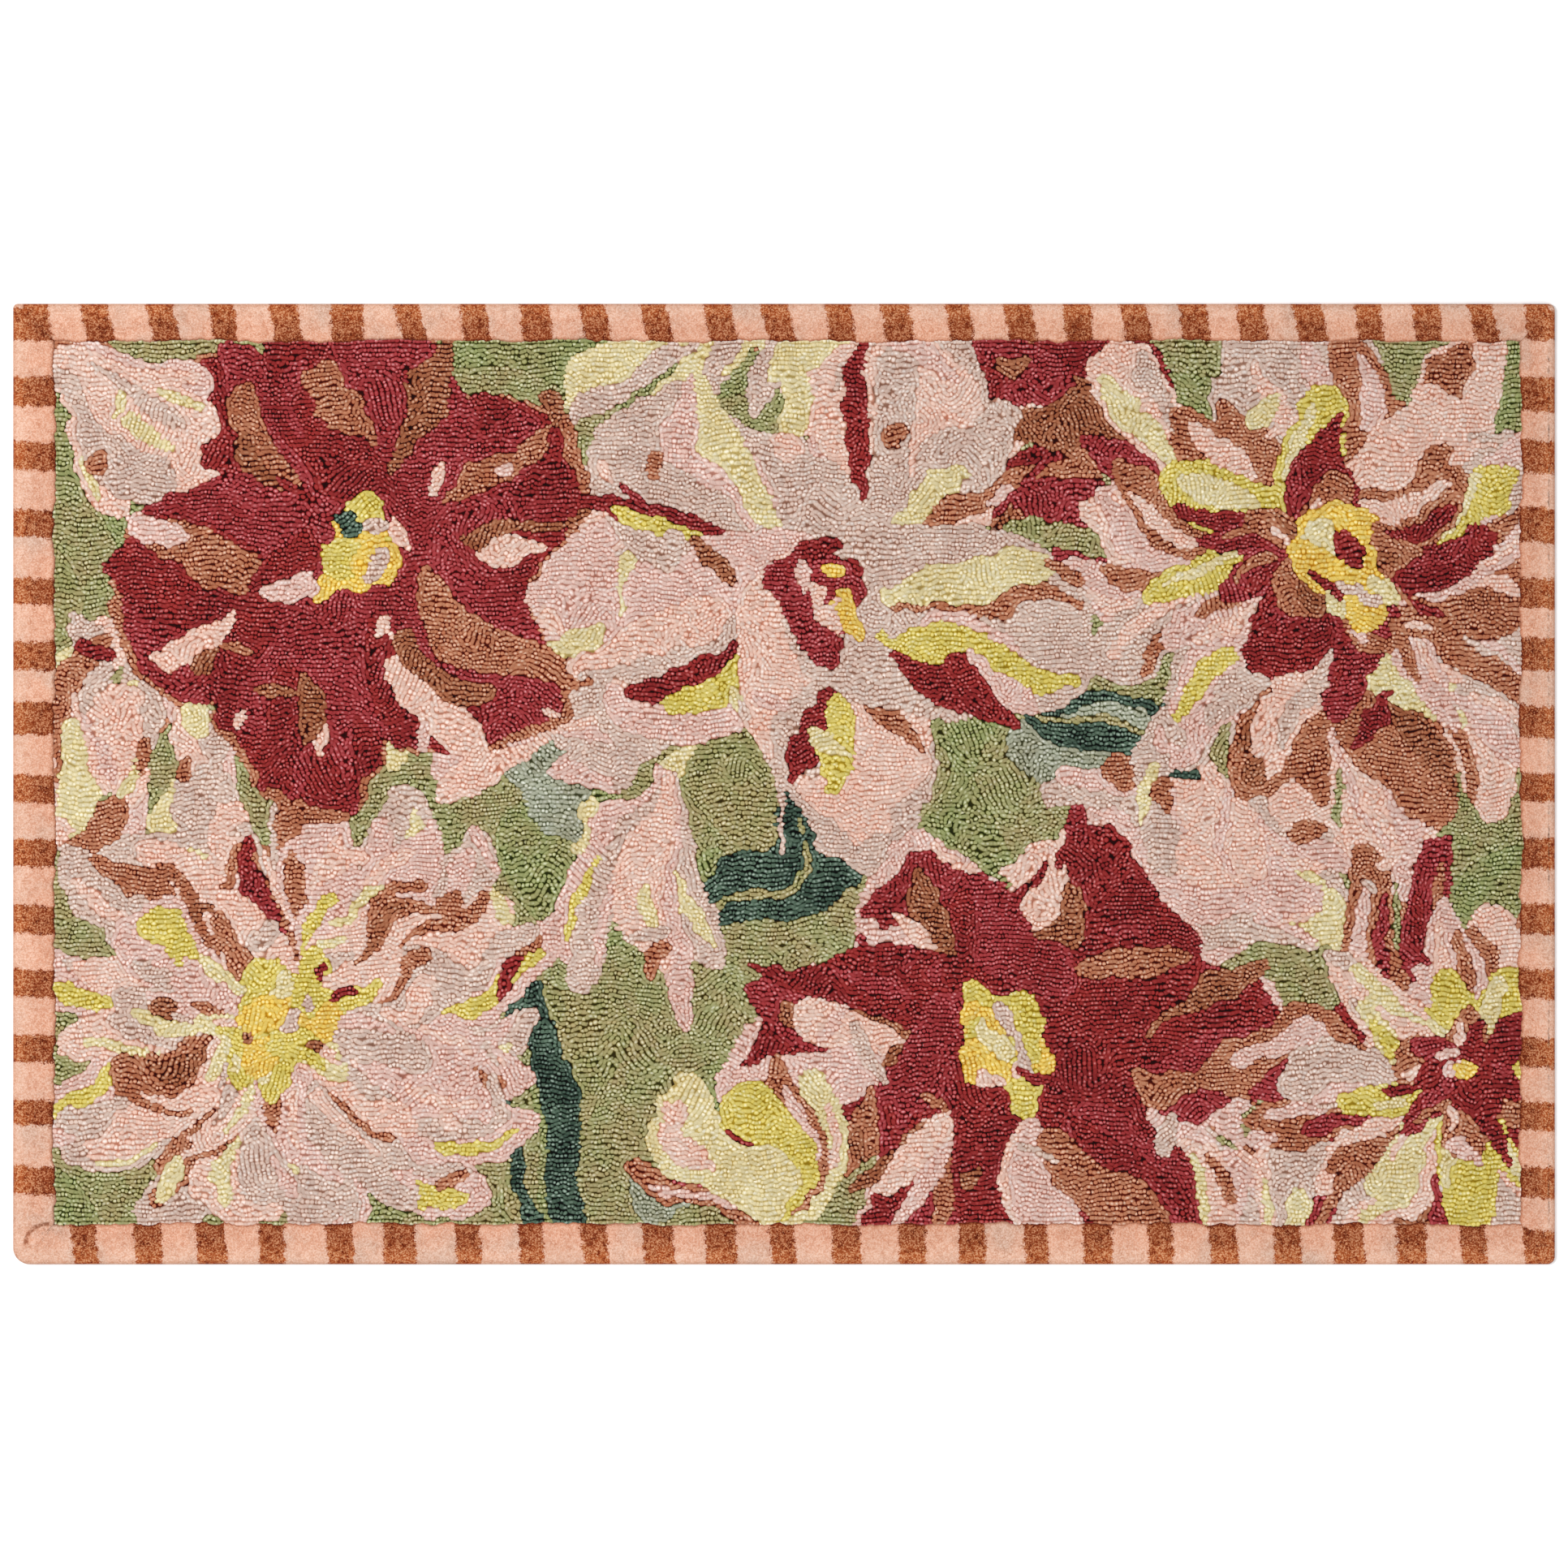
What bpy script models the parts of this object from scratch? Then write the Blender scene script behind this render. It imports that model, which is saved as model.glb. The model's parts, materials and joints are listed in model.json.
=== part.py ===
"""A hooked rug lying flat: a loop-pile field inside a cut-pile border.

Metres, +Z up. X runs along the rug's length, Y across its width, and the origin is on the
floor under its middle. Run it from Blender's text editor, or with
blender --background --python part.py.
"""

import math

import bmesh
import bpy
import numpy as np

# The whole rug
LENGTH = 2.44
WIDTH = 1.52

# How wide the border is on each side
BORDER_LEFT = 0.064
BORDER_RIGHT = 0.053
BORDER_FRONT = 0.062
BORDER_BACK = 0.057
SEAM_GAP = 0.0003

# The corners are rounded off, each by its own amount
CORNER_RADIUS = {
    "front_left": 0.026,
    "front_right": 0.012,
    "back_right": 0.010,
    "back_left": 0.007,
}
CORNER_STEPS = 2  # stations on each half of a corner
CORNER_REACH = 0.012  # how far along the seam from its corner those stations reach

# The seam between field and border wanders a little, as hooked by hand
SEAM_WANDER = 0.0016
LENGTH_STATIONS = 10
WIDTH_STATIONS = 7

# The field: rows of loops that run along the length
ROW_PITCH = 0.0077
ROW_TOP = 0.0095
ROW_FOOT = 0.0068
ROW_TOP_SPREAD = 0.0004
ROW_WANDER = 0.0035

# The border: a band of cut pile, higher than the loops and rounded over at the rim.
# Each row of the table is a point of its cross-section.
BORDER_TOP = 0.0125
BORDER_LUMP = 0.0005
BORDER_SECTION = (
    # share of the way from seam to rim, distance in from that place, height
    {"share": 0.0, "inset": 0.0, "height": 0.0},
    {"share": 0.0, "inset": 0.0, "height": 0.0105},
    {"share": 0.0, "inset": 0.005, "height": BORDER_TOP},
    {"share": 0.5, "inset": 0.0, "height": BORDER_TOP + 0.0004},
    {"share": 1.0, "inset": -0.014, "height": BORDER_TOP - 0.0002},
    {"share": 1.0, "inset": -0.006, "height": 0.0108},
    {"share": 1.0, "inset": -0.0015, "height": 0.0078},
    {"share": 1.0, "inset": 0.0, "height": 0.0042},
    {"share": 1.0, "inset": -0.003, "height": 0.0},
)

FIELD_LOW = np.array([-LENGTH / 2 + BORDER_LEFT, -WIDTH / 2 + BORDER_FRONT])
FIELD_HIGH = np.array([LENGTH / 2 - BORDER_RIGHT, WIDTH / 2 - BORDER_BACK])
FIELD_SIZE = FIELD_HIGH - FIELD_LOW


def clear_scene():
    for obj in list(bpy.data.objects):
        bpy.data.objects.remove(obj)


def seam_offset(side, share):
    """How far the seam stands off its straight line at a share of that side, towards the border.

    It is the sum of two waves, taken at even stations and joined by straight runs, and is
    nothing at the corners. The field and the border both read it.
    """
    count = LENGTH_STATIONS if side in ("front", "back") else WIDTH_STATIONS
    phase = {"front": 0.4, "right": 1.9, "back": 3.1, "left": 5.0}[side]
    at = np.linspace(0.0, 1.0, count + 1)
    long_wave = 0.6 * np.sin(2 * math.pi * 2.3 * at + phase)
    short_wave = 0.4 * np.sin(2 * math.pi * 4.1 * at + 2 * phase)
    wave = long_wave + short_wave
    wave[0] = 0.0
    wave[-1] = 0.0
    return SEAM_WANDER * np.interp(share, at, wave)


def seam_point(side, share, gap):
    """A point of the seam, a gap outside it. Each side runs from its low end to its high end."""
    out = seam_offset(side, share) + gap
    if side == "front":
        return (FIELD_LOW[0] + share * FIELD_SIZE[0], FIELD_LOW[1] - out)
    if side == "back":
        return (FIELD_LOW[0] + share * FIELD_SIZE[0], FIELD_HIGH[1] + out)
    if side == "left":
        return (FIELD_LOW[0] - out, FIELD_LOW[1] + share * FIELD_SIZE[1])
    return (FIELD_HIGH[0] + out, FIELD_LOW[1] + share * FIELD_SIZE[1])


def material(name, colour, roughness):
    finish = bpy.data.materials.new(name)
    finish.use_nodes = True
    shader = finish.node_tree.nodes["Principled BSDF"]
    shader.inputs["Base Color"].default_value = (*colour, 1.0)
    shader.inputs["Roughness"].default_value = roughness
    shader.inputs["Metallic"].default_value = 0.0
    return finish


def add_object(name, mesh_builder, finish):
    """Closes the bmesh's faces round the right way, and links it as one object."""
    bmesh.ops.recalc_face_normals(mesh_builder, faces=mesh_builder.faces)
    mesh = bpy.data.meshes.new(name)
    mesh_builder.to_mesh(mesh)
    mesh_builder.free()
    mesh.shade_smooth()
    mesh.set_sharp_from_angle(angle=math.radians(60))
    mesh.materials.append(finish)
    obj = bpy.data.objects.new(name, mesh)
    bpy.context.scene.collection.objects.link(obj)
    return obj


def row_height(line):
    """Height of one line of the field's top: even lines lie between rows, odd ones on a row's top."""
    if line % 2 == 0:
        return ROW_FOOT
    return ROW_TOP - ROW_TOP_SPREAD * (0.5 + 0.5 * math.sin(1.7 * line + 0.3 * math.sin(0.11 * line)))


def field_line(line, lines):
    """The points of one line of the field's top, from the left seam to the right one.

    Its ends lie on the side seams. In between it takes the front seam's wander at the front
    edge and the back seam's at the back edge, and its own slow wave well inside.
    """
    across = line / lines
    left = seam_point("left", across, -SEAM_GAP / 2)[0]
    right = seam_point("right", across, -SEAM_GAP / 2)[0]
    inner = math.sin(math.pi * across) ** 0.5
    points = []
    for share in np.linspace(0.0, 1.0, LENGTH_STATIONS + 1):
        front = seam_point("front", share, -SEAM_GAP / 2)[1]
        back = seam_point("back", share, -SEAM_GAP / 2)[1]
        wave = math.sin(2 * math.pi * (1.7 * share + 2.1 * across))
        wave += 0.5 * math.sin(9.0 * share - 5.0 * across)
        wave *= ROW_WANDER * inner * math.sin(math.pi * share)
        x = left + share * (right - left)
        y = front + across * (back - front) + wave
        points.append((x, y, row_height(line)))
    return points


def build_field(finish):
    """The loop pile and its ground cloth as one slab, ribbed by its rows."""
    rows = round(FIELD_SIZE[1] / ROW_PITCH)
    lines = 2 * rows
    shape = bmesh.new()
    top = [[shape.verts.new(p) for p in field_line(line, lines)] for line in range(lines + 1)]
    for near, far in zip(top, top[1:]):
        for i in range(LENGTH_STATIONS):
            shape.faces.new((near[i], near[i + 1], far[i + 1], far[i]))

    # The floor has the front and back edges' stations, and only the two ends of each line between
    def floor_vert(vert):
        return shape.verts.new((vert.co.x, vert.co.y, 0.0))

    front = [floor_vert(v) for v in top[0]]
    back = [floor_vert(v) for v in top[-1]]
    left = [front[0]] + [floor_vert(line[0]) for line in top[1:-1]] + [back[0]]
    right = [front[-1]] + [floor_vert(line[-1]) for line in top[1:-1]] + [back[-1]]
    shape.faces.new(front + [right[1], left[1]])
    shape.faces.new(back + [right[-2], left[-2]])
    for i in range(1, lines - 1):
        shape.faces.new((left[i], right[i], right[i + 1], left[i + 1]))
    for edge, floor in ((top[0], front), (top[-1], back)):
        for i in range(LENGTH_STATIONS):
            shape.faces.new((edge[i], edge[i + 1], floor[i + 1], floor[i]))
    for end, floor in ((0, left), (-1, right)):
        for i in range(lines):
            shape.faces.new((top[i][end], top[i + 1][end], floor[i + 1], floor[i]))
    return add_object("rug_field", shape, finish)


def corner_arc(corner, share):
    """A point of a rounded outer corner, at a share from 0, on its front or back edge, to 1, on its side."""
    radius = CORNER_RADIUS[corner]
    to_right = 1 if corner.endswith("right") else -1
    to_back = 1 if corner.startswith("back") else -1
    turn = share * math.pi / 2
    x = to_right * (LENGTH / 2 - radius + radius * math.sin(turn))
    y = to_back * (WIDTH / 2 - radius + radius * math.cos(turn))
    return (x, y)


def side_stations(side):
    """Where the border's sections stand along one side, as shares of the seam between its corners."""
    long_side = side in ("front", "back")
    count = LENGTH_STATIONS if long_side else WIDTH_STATIONS
    near_corner = CORNER_REACH / FIELD_SIZE[0 if long_side else 1]
    first = [near_corner * i / CORNER_STEPS for i in range(1, CORNER_STEPS + 1)]
    middle = list(np.linspace(0.0, 1.0, 2 * count + 1)[1:-1])
    return first + middle + [1.0 - share for share in reversed(first)]


def border_side(side, low_corner, high_corner):
    """The (seam point, rim point) pairs along one side, from its low corner to its high one.

    The first and last few rim points lie on the rounded corners. The pair at a corner's middle
    belongs to no side.
    """
    pairs = []
    stations = side_stations(side)
    for i, share in enumerate(stations):
        seam = seam_point(side, share, SEAM_GAP / 2)
        from_low, from_high = i + 1, len(stations) - i
        corner, steps = (low_corner, from_low) if from_low <= from_high else (high_corner, from_high)
        if steps <= CORNER_STEPS:
            to_edge = 0.5 * steps / CORNER_STEPS
            turn = 0.5 - to_edge if side in ("front", "back") else 0.5 + to_edge
            rim = corner_arc(corner, turn)
        elif side in ("front", "back"):
            rim = (seam[0], WIDTH / 2 if side == "back" else -WIDTH / 2)
        else:
            rim = (LENGTH / 2 if side == "right" else -LENGTH / 2, seam[1])
        pairs.append((seam, rim))
    return pairs


def border_path():
    """The (seam point, rim point) pairs right round the rug, anticlockwise from the front left corner."""
    half_gap = SEAM_GAP / 2
    low, high = FIELD_LOW - half_gap, FIELD_HIGH + half_gap
    front = border_side("front", "front_left", "front_right")
    right = border_side("right", "front_right", "back_right")
    back = border_side("back", "back_left", "back_right")[::-1]
    left = border_side("left", "front_left", "back_left")[::-1]
    return (
        [((low[0], low[1]), corner_arc("front_left", 0.5))]
        + front
        + [((high[0], low[1]), corner_arc("front_right", 0.5))]
        + right
        + [((high[0], high[1]), corner_arc("back_right", 0.5))]
        + back
        + [((low[0], high[1]), corner_arc("back_left", 0.5))]
        + left
    )


def border_section(seam, rim, place):
    """One cross-section of the border: the table's points, set between seam and rim."""
    seam, rim = np.array(seam), np.array(rim)
    across = (rim - seam) / np.linalg.norm(rim - seam)
    lump = BORDER_LUMP * (math.sin(2.9 * place) + 0.7 * math.sin(1.3 * place + 1.0)) / 1.7
    points = []
    for row in BORDER_SECTION:
        flat = seam + row["share"] * (rim - seam) + row["inset"] * across
        # Only the pile's top is lumpy: the seam, the rim and the floor stay where they are
        lift = lump if row["height"] >= BORDER_TOP - 0.001 else 0.0
        points.append((flat[0], flat[1], row["height"] + lift))
    return points


def build_border(finish):
    """The cut-pile band: one cross-section carried round the field and closed on itself."""
    shape = bmesh.new()
    rings = []
    for place, (seam, rim) in enumerate(border_path()):
        rings.append([shape.verts.new(p) for p in border_section(seam, rim, place)])
    points = len(BORDER_SECTION)
    for here, after in zip(rings, rings[1:] + rings[:1]):
        for i in range(points):
            j = (i + 1) % points
            shape.faces.new((here[i], here[j], after[j], after[i]))
    return add_object("rug_border", shape, finish)


def main():
    clear_scene()
    build_field(material("loop_pile", (0.50, 0.29, 0.23), 0.95))
    build_border(material("cut_pile", (0.80, 0.47, 0.33), 1.0))


main()
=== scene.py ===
"""The looks of a hooked rug that lies flat: yarn loops, cut-pile border and ground cloth.

It is laid out as an add-on and run as a script. Metres, +Z up, X along the rug, Y across it. The
front is -Y, at the bottom of the picture, and the back is +Y.
"""

import functools
import json
import math

import bpy
import numpy as np
from bpy.props import FloatProperty, FloatVectorProperty, IntProperty, PointerProperty
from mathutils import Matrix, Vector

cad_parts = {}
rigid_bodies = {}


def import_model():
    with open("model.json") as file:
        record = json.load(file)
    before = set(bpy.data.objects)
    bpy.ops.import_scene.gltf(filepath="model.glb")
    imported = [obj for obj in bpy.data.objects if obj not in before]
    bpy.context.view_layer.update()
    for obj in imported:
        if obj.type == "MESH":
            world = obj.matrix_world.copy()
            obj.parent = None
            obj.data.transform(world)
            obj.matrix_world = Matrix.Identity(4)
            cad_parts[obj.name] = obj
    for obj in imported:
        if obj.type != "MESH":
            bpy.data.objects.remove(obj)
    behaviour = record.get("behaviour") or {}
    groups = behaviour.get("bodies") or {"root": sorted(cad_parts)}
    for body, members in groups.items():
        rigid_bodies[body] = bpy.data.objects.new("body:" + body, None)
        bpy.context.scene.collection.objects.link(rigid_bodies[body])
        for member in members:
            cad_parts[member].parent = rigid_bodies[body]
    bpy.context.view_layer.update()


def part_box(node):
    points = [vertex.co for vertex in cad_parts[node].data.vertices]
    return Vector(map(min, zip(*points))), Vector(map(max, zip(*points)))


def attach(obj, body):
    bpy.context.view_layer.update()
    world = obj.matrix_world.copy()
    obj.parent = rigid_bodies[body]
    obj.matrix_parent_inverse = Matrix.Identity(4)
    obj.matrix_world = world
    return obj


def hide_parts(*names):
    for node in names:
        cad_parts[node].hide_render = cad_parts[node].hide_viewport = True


bl_info = {
    "name": "Hooked rug",
    "version": (1, 0, 0),
    "blender": (4, 5, 0),
    "location": "3D View > Sidebar > Rug",
    "description": "Makes the loops, the cut-pile border and the ground cloth of a hooked rug",
    "category": "Object",
}

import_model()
FIELD_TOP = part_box("rug_field")[1][2]
RIM_LOW, RIM_HIGH = (np.array(corner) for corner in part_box("rug_border"))
BODY = "root"

# The border's width on each side, its corners and its seam, as in the solids
BORDER = {"left": 0.064, "right": 0.053, "front": 0.062, "back": 0.057}
CORNER_RADIUS = {"front_left": 0.026, "front_right": 0.012, "back_right": 0.010, "back_left": 0.007}
SEAM_WANDER = 0.0016
SEAM_STATIONS = {"front": 10, "back": 10, "left": 7, "right": 7}
SEAM_PHASE = {"front": 0.4, "right": 1.9, "back": 3.1, "left": 5.0}
FIELD_LOW = RIM_LOW[:2] + (BORDER["left"], BORDER["front"])
FIELD_HIGH = RIM_HIGH[:2] - (BORDER["right"], BORDER["back"])
FIELD_SIZE = FIELD_HIGH - FIELD_LOW

# The pile wanders a little more along the seam, but not in the last bit before a corner: each wave's
# share, its length in metres, and how many times the side's phase it starts at
PILE_WANDER = 0.0024
PILE_WAVES = ((0.6, 0.31, 1), (0.45, 0.14, 3), (0.25, 0.051, 5))
STRAIGHT_END = 0.05

# Where the pile of the front left corner parts: the middle of an arc, and its radius
CORNER_ARC = (-1.1667, -0.7273, 0.0126, 0.0315)

# The rust blocks of each side: the first one's middle and the pitch from there (both along X or Y),
# how many there are, how far the middle ones drift, their width, and how much their far end leans
BLOCKS = {
    "back": {"first": -1.186, "pitch": 0.0953, "count": 26, "drift": 0.034, "width": 0.043, "lean": -0.010},
    "front": {"first": -1.107, "pitch": 0.0999, "count": 24, "drift": 0.008, "width": 0.043, "lean": 0.004},
    "left": {"first": 0.722, "pitch": -0.1036, "count": 14, "drift": 0.0, "width": 0.046, "lean": 0.003},
    "right": {"first": 0.724, "pitch": -0.1041, "count": 15, "drift": 0.0, "width": 0.050, "lean": -0.003},
}

# Each yarn of the field: its use, its colour and the fleck spun into it, as a screen shows them, and
# the strength of the painted shade in its creases, fainter for pale yarn that light passes through
YARNS = {
    "olive": ("Ground between the flowers", (160, 161, 110), (168, 151, 106), 0.83),
    "moss": ("Yellower part of the ground", (174, 158, 111), (152, 151, 98), 0.83),
    "leaf": ("Fresh green of leaves", (148, 156, 101), (158, 151, 101), 0.87),
    "teal": ("Dark side of leaves", (90, 112, 94), (38, 57, 47), 1.15),
    "blue_grey": ("Cool patches of the ground", (176, 180, 160), (150, 148, 122), 0.70),
    "brick": ("Lighter red of petals", (166, 60, 64), (145, 42, 43), 0.85),
    "wine": ("Darker red of petals", (154, 46, 44), (129, 33, 35), 0.85),
    "terracotta": ("Warm shade of petals", (193, 130, 98), (169, 98, 67), 0.93),
    "russet": ("Brown shade of petals", (174, 110, 78), (146, 80, 50), 0.98),
    "peach_pink": ("Warm pale pink of petals", (230, 199, 184), (228, 185, 167), 0.48),
    "blush": ("Cool pale pink of petals", (228, 195, 184), (216, 177, 164), 0.50),
    "greige": ("Grey beige of petals", (219, 194, 180), (202, 173, 159), 0.53),
    "lime": ("Pale yellow green light", (228, 215, 172), (214, 196, 145), 0.40),
    "chartreuse": ("Strong yellow green light", (223, 205, 117), (204, 185, 87), 0.50),
    "mustard": ("Hearts of the flowers", (236, 205, 104), (220, 182, 86), 0.47),
}


def from_screen(colour):
    """A colour of 0 to 255 a channel, as the linear colour that a shader takes."""
    share = np.array(colour) / 255.0
    linear = np.where(share <= 0.04045, share / 12.92, ((share + 0.055) / 1.055) ** 2.4)
    return tuple(float(value) for value in linear)


def colour_setting(name, description, colour):
    """A colour that a user may change, given as a screen shows it."""
    plain = {"name": name, "description": description, "default": from_screen(colour)}
    return FloatVectorProperty(subtype="COLOR", size=3, min=0.0, max=1.0, **plain)


def length_setting(name, description, default):
    """A length in metres that a user may change."""
    return FloatProperty(name=name, description=description, default=default, unit="LENGTH")


def angle_setting(name, description, default):
    """An angle in radians that a user may change."""
    return FloatProperty(name=name, description=description, default=default, subtype="ANGLE")


def count_setting(name, description, default):
    """A whole number that a user may change."""
    return IntProperty(name=name, description=description, default=default, min=0)


class RugYarns(bpy.types.PropertyGroup):
    """The plain colour of each yarn in the field."""

    __annotations__ = {
        name: colour_setting(name.replace("_", " ").capitalize(), use, colour)
        for name, (use, colour, _, _) in YARNS.items()
    }


class RugLoops(bpy.types.PropertyGroup):
    """How the field is hooked."""

    row_pitch: length_setting("Row pitch", "Distance between rows of loops", 0.0077)
    loop_pitch: length_setting("Loop pitch", "Distance between loops along a row", 0.0060)
    crease: length_setting("Crease", "How deep the crease between two rows is", 0.0023)
    wave: length_setting("Wave", "How far the rows wander to either side", 0.0045)
    wiggle: length_setting("Wiggle", "How far a row shifts from loop to loop", 0.0018)
    patches: count_setting("Patches", "Round patches hooked in another direction", 90)
    patch_turn: angle_setting("Patch turn", "How far such a patch is turned at most", 1.5)
    skew: angle_setting("Skew", "How much the loops lie askew", 0.20)
    rounds: count_setting("Rounds", "Of settling the loops into place", 18)
    seed: count_setting("Seed", "Start of the random draws", 11)


class RugBorder(bpy.types.PropertyGroup):
    """The cut-pile band round the field."""

    top: length_setting("Top", "Height of the pile", 0.0126)
    lump: length_setting("Lump", "How uneven the sheared top is", 0.0005)
    peach: colour_setting("Peach", "Ground of the band", (207, 156, 131))
    # The rim colours are paler: a painted highlight on the rounded rim
    peach_rim_highlight: colour_setting("Peach at the rim", "Paler as a painted highlight", (214, 173, 151))
    tan: colour_setting("Tan", "Greyer patches of the peach", (196, 164, 146))
    rust: colour_setting("Rust", "Blocks across the band", (145, 77, 44))
    rust_rim_highlight: colour_setting("Rust at the rim", "Paler as a painted highlight", (178, 105, 63))
    seed: count_setting("Seed", "Start of the random draws", 23)


class RugCloth(bpy.types.PropertyGroup):
    """The cloth that the pile is hooked into."""

    thickness: length_setting("Thickness", "Of the cloth", 0.0018)
    inset: length_setting("Inset", "How far the cloth ends inside the pile's rim", 0.003)
    colour: colour_setting("Colour", "Unbleached cotton", (214, 203, 180))


class RugStage(bpy.types.PropertyGroup):
    """The floor, the light and the camera."""

    view_width: length_setting("View width", "What the picture spans", 2.480)
    camera_height: length_setting("Camera height", "Over the floor", 7.0)
    floor: colour_setting("Floor", "Plain pale floor", (250, 250, 250))
    sky: FloatProperty(name="Sky", description="Strength of the soft light all round", default=0.53, min=0.0)


class RugSettings(bpy.types.PropertyGroup):
    """Everything that a user may change."""

    yarns: PointerProperty(type=RugYarns)
    loops: PointerProperty(type=RugLoops)
    border: PointerProperty(type=RugBorder)
    cloth: PointerProperty(type=RugCloth)
    stage: PointerProperty(type=RugStage)


def settings():
    """The rug's property groups, by name."""
    return bpy.context.scene.rug_settings


# Meshes


def add_mesh(name, points, faces, finish, maps=None, values=None):
    """Puts whole arrays of points and of faces into a new mesh at the origin.

    All faces have as many corners. maps holds a place for each corner of each face by map name, and
    values a number for each point.
    """
    mesh = bpy.data.meshes.new(name)
    mesh.vertices.add(len(points))
    mesh.vertices.foreach_set("co", points.astype(np.float32).ravel())
    mesh.loops.add(faces.size)
    mesh.loops.foreach_set("vertex_index", faces.astype(np.int32).ravel())
    mesh.polygons.add(len(faces))
    corners = faces.shape[1]
    mesh.polygons.foreach_set("loop_start", np.arange(0, faces.size, corners, dtype=np.int32))
    mesh.update(calc_edges=True)
    for label, places in (maps or {}).items():
        layer = mesh.uv_layers.new(name=label, do_init=False)
        layer.data.foreach_set("uv", places.astype(np.float32).ravel())
    for label, numbers in (values or {}).items():
        layer = mesh.attributes.new(label, "FLOAT", "POINT")
        layer.data.foreach_set("value", numbers.astype(np.float32))
    mesh.validate()
    mesh.shade_smooth()
    mesh.materials.append(finish)
    piece = bpy.data.objects.new(name, mesh)
    bpy.context.scene.collection.objects.link(piece)
    return piece


def grid_faces(rows, columns, closed=False):
    """The four-cornered faces of a grid of points. A closed one joins its last row to its first."""
    row = np.arange(rows if closed else rows - 1)[:, None]
    column = np.arange(columns - 1)[None, :]
    after = (row + 1) % rows
    corners = (
        row * columns + column,
        row * columns + column + 1,
        after * columns + column + 1,
        after * columns + column,
    )
    return np.stack(corners, axis=-1).reshape(-1, 4)


def rise(low, high, value):
    """0 up to low, 1 from high, and a smooth step between them."""
    share = np.clip((value - low) / (high - low), 0.0, 1.0)
    return share * share * (3.0 - 2.0 * share)


def waves(x, y, draws, size, count=6):
    """A smooth field of about -1 to 1: a few sine waves of about one size, each its own way."""
    total = np.zeros_like(x)
    for _ in range(count):
        turn = draws.uniform(0, 2 * math.pi)
        reach = size * draws.uniform(0.6, 1.6)
        phase = draws.uniform(0, 2 * math.pi)
        total += np.sin((x * math.cos(turn) + y * math.sin(turn)) * 2 * math.pi / reach + phase)
    return total / (1.4 * math.sqrt(count / 2))


def seam_offset(side, share):
    """How far the seam stands off its straight line.

    Two waves, joined by straight runs, are those of the solids. The pile adds a smaller wander.
    """
    at = np.linspace(0.0, 1.0, SEAM_STATIONS[side] + 1)
    wave = 0.6 * np.sin(2 * math.pi * 2.3 * at + SEAM_PHASE[side])
    wave += 0.4 * np.sin(2 * math.pi * 4.1 * at + 2 * SEAM_PHASE[side])
    wave[[0, -1]] = 0.0
    length = FIELD_SIZE[0 if side in ("front", "back") else 1]
    turns = 2 * math.pi * share * length
    pile = sum(part * np.sin(turns / reach + start * SEAM_PHASE[side]) for part, reach, start in PILE_WAVES)
    fade = rise(0.0, STRAIGHT_END, np.minimum(share, 1 - share) * length)
    return SEAM_WANDER * np.interp(share, at, wave) + PILE_WANDER * pile * fade


# The design: brush strokes and flowers, laid over each other on a grid of places

# A stroke's steps along its path, and the half width under which it ends, three quarters of a row
STROKE_STEPS = 26
THINNEST = 0.006


class Sketch:
    """The places that are drawn on, and the yarn that each has so far."""

    def __init__(self, x, y, seed):
        self.draws = np.random.default_rng(seed)
        self.x = x
        self.y = y
        self.names = list(YARNS)
        self.yarn = np.zeros(x.shape, dtype=np.int32)

    def fill(self, mask, yarn):
        """Gives a yarn to all places where the mask is true."""
        self.yarn[mask] = self.names.index(yarn)

    def stroke(self, yarn, start, middle, end, width, belly=1.0, fullness=0.5, blunt=0.0):
        """One brush stroke: discs along a curve led by three points, widest at its belly.

        The radius is width * (blunt + (1 - blunt) * sin(pi * t ** belly) ** fullness).
        """
        t = np.linspace(0.0, 1.0, STROKE_STEPS)[:, None]
        start, middle, end = (np.asarray(point, dtype=float) for point in (start, middle, end))
        path = (1 - t) ** 2 * start + 2 * t * (1 - t) * middle + t**2 * end
        radius = width * (blunt + (1 - blunt) * np.sin(math.pi * t[:, 0] ** belly) ** fullness)
        radius = np.where(radius < THINNEST, 0.0, radius)
        low, high = (path - radius[:, None]).min(0), (path + radius[:, None]).max(0)
        inside = (self.x > low[0]) & (self.x < high[0]) & (self.y > low[1]) & (self.y < high[1])
        near = np.flatnonzero(inside)
        away = np.hypot(self.x[near][:, None] - path[:, 0], self.y[near][:, None] - path[:, 1])
        self.yarn[near[(away < radius).any(1)]] = self.names.index(yarn)

    def spot(self, yarn, centre, radius):
        """One round blot."""
        self.stroke(yarn, centre, centre, centre, radius, 1.0, 0.0, 1.0)


def polar(centre, radius, angle):
    """The point at a distance and an angle from a centre."""
    return np.array([centre[0] + radius * math.cos(angle), centre[1] + radius * math.sin(angle)])


def petal(sketch, centre, inner, outer, angle, width, bend, colours):
    """One petal with a body, and often a shaded side and a light side."""
    draws = sketch.draws
    body, shade, light = colours
    root, tip = polar(centre, inner, angle), polar(centre, outer, angle + bend)
    middle = polar(centre, (inner + outer) / 2, angle + bend * 0.2)
    sketch.stroke(body, root, middle, tip, width, 0.75, 0.45, 0.12)
    side = np.array([-math.sin(angle), math.cos(angle)]) * width * (1 if bend >= 0 else -1)
    along = tip - root
    if shade and draws.random() < 0.85:
        end = root + along * draws.uniform(0.65, 0.9) + 0.45 * side
        thick = width * draws.uniform(0.28, 0.42)
        sketch.stroke(shade, root + 0.18 * side, middle + 0.45 * side, end, thick, 1.1)
    if light and draws.random() < 0.8:
        begin = root + along * draws.uniform(0.15, 0.4) - 0.42 * side
        thick = width * draws.uniform(0.22, 0.36)
        sketch.stroke(light, begin, middle - 0.48 * side, root + along * 0.93 - 0.25 * side, thick, 0.9)


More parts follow.
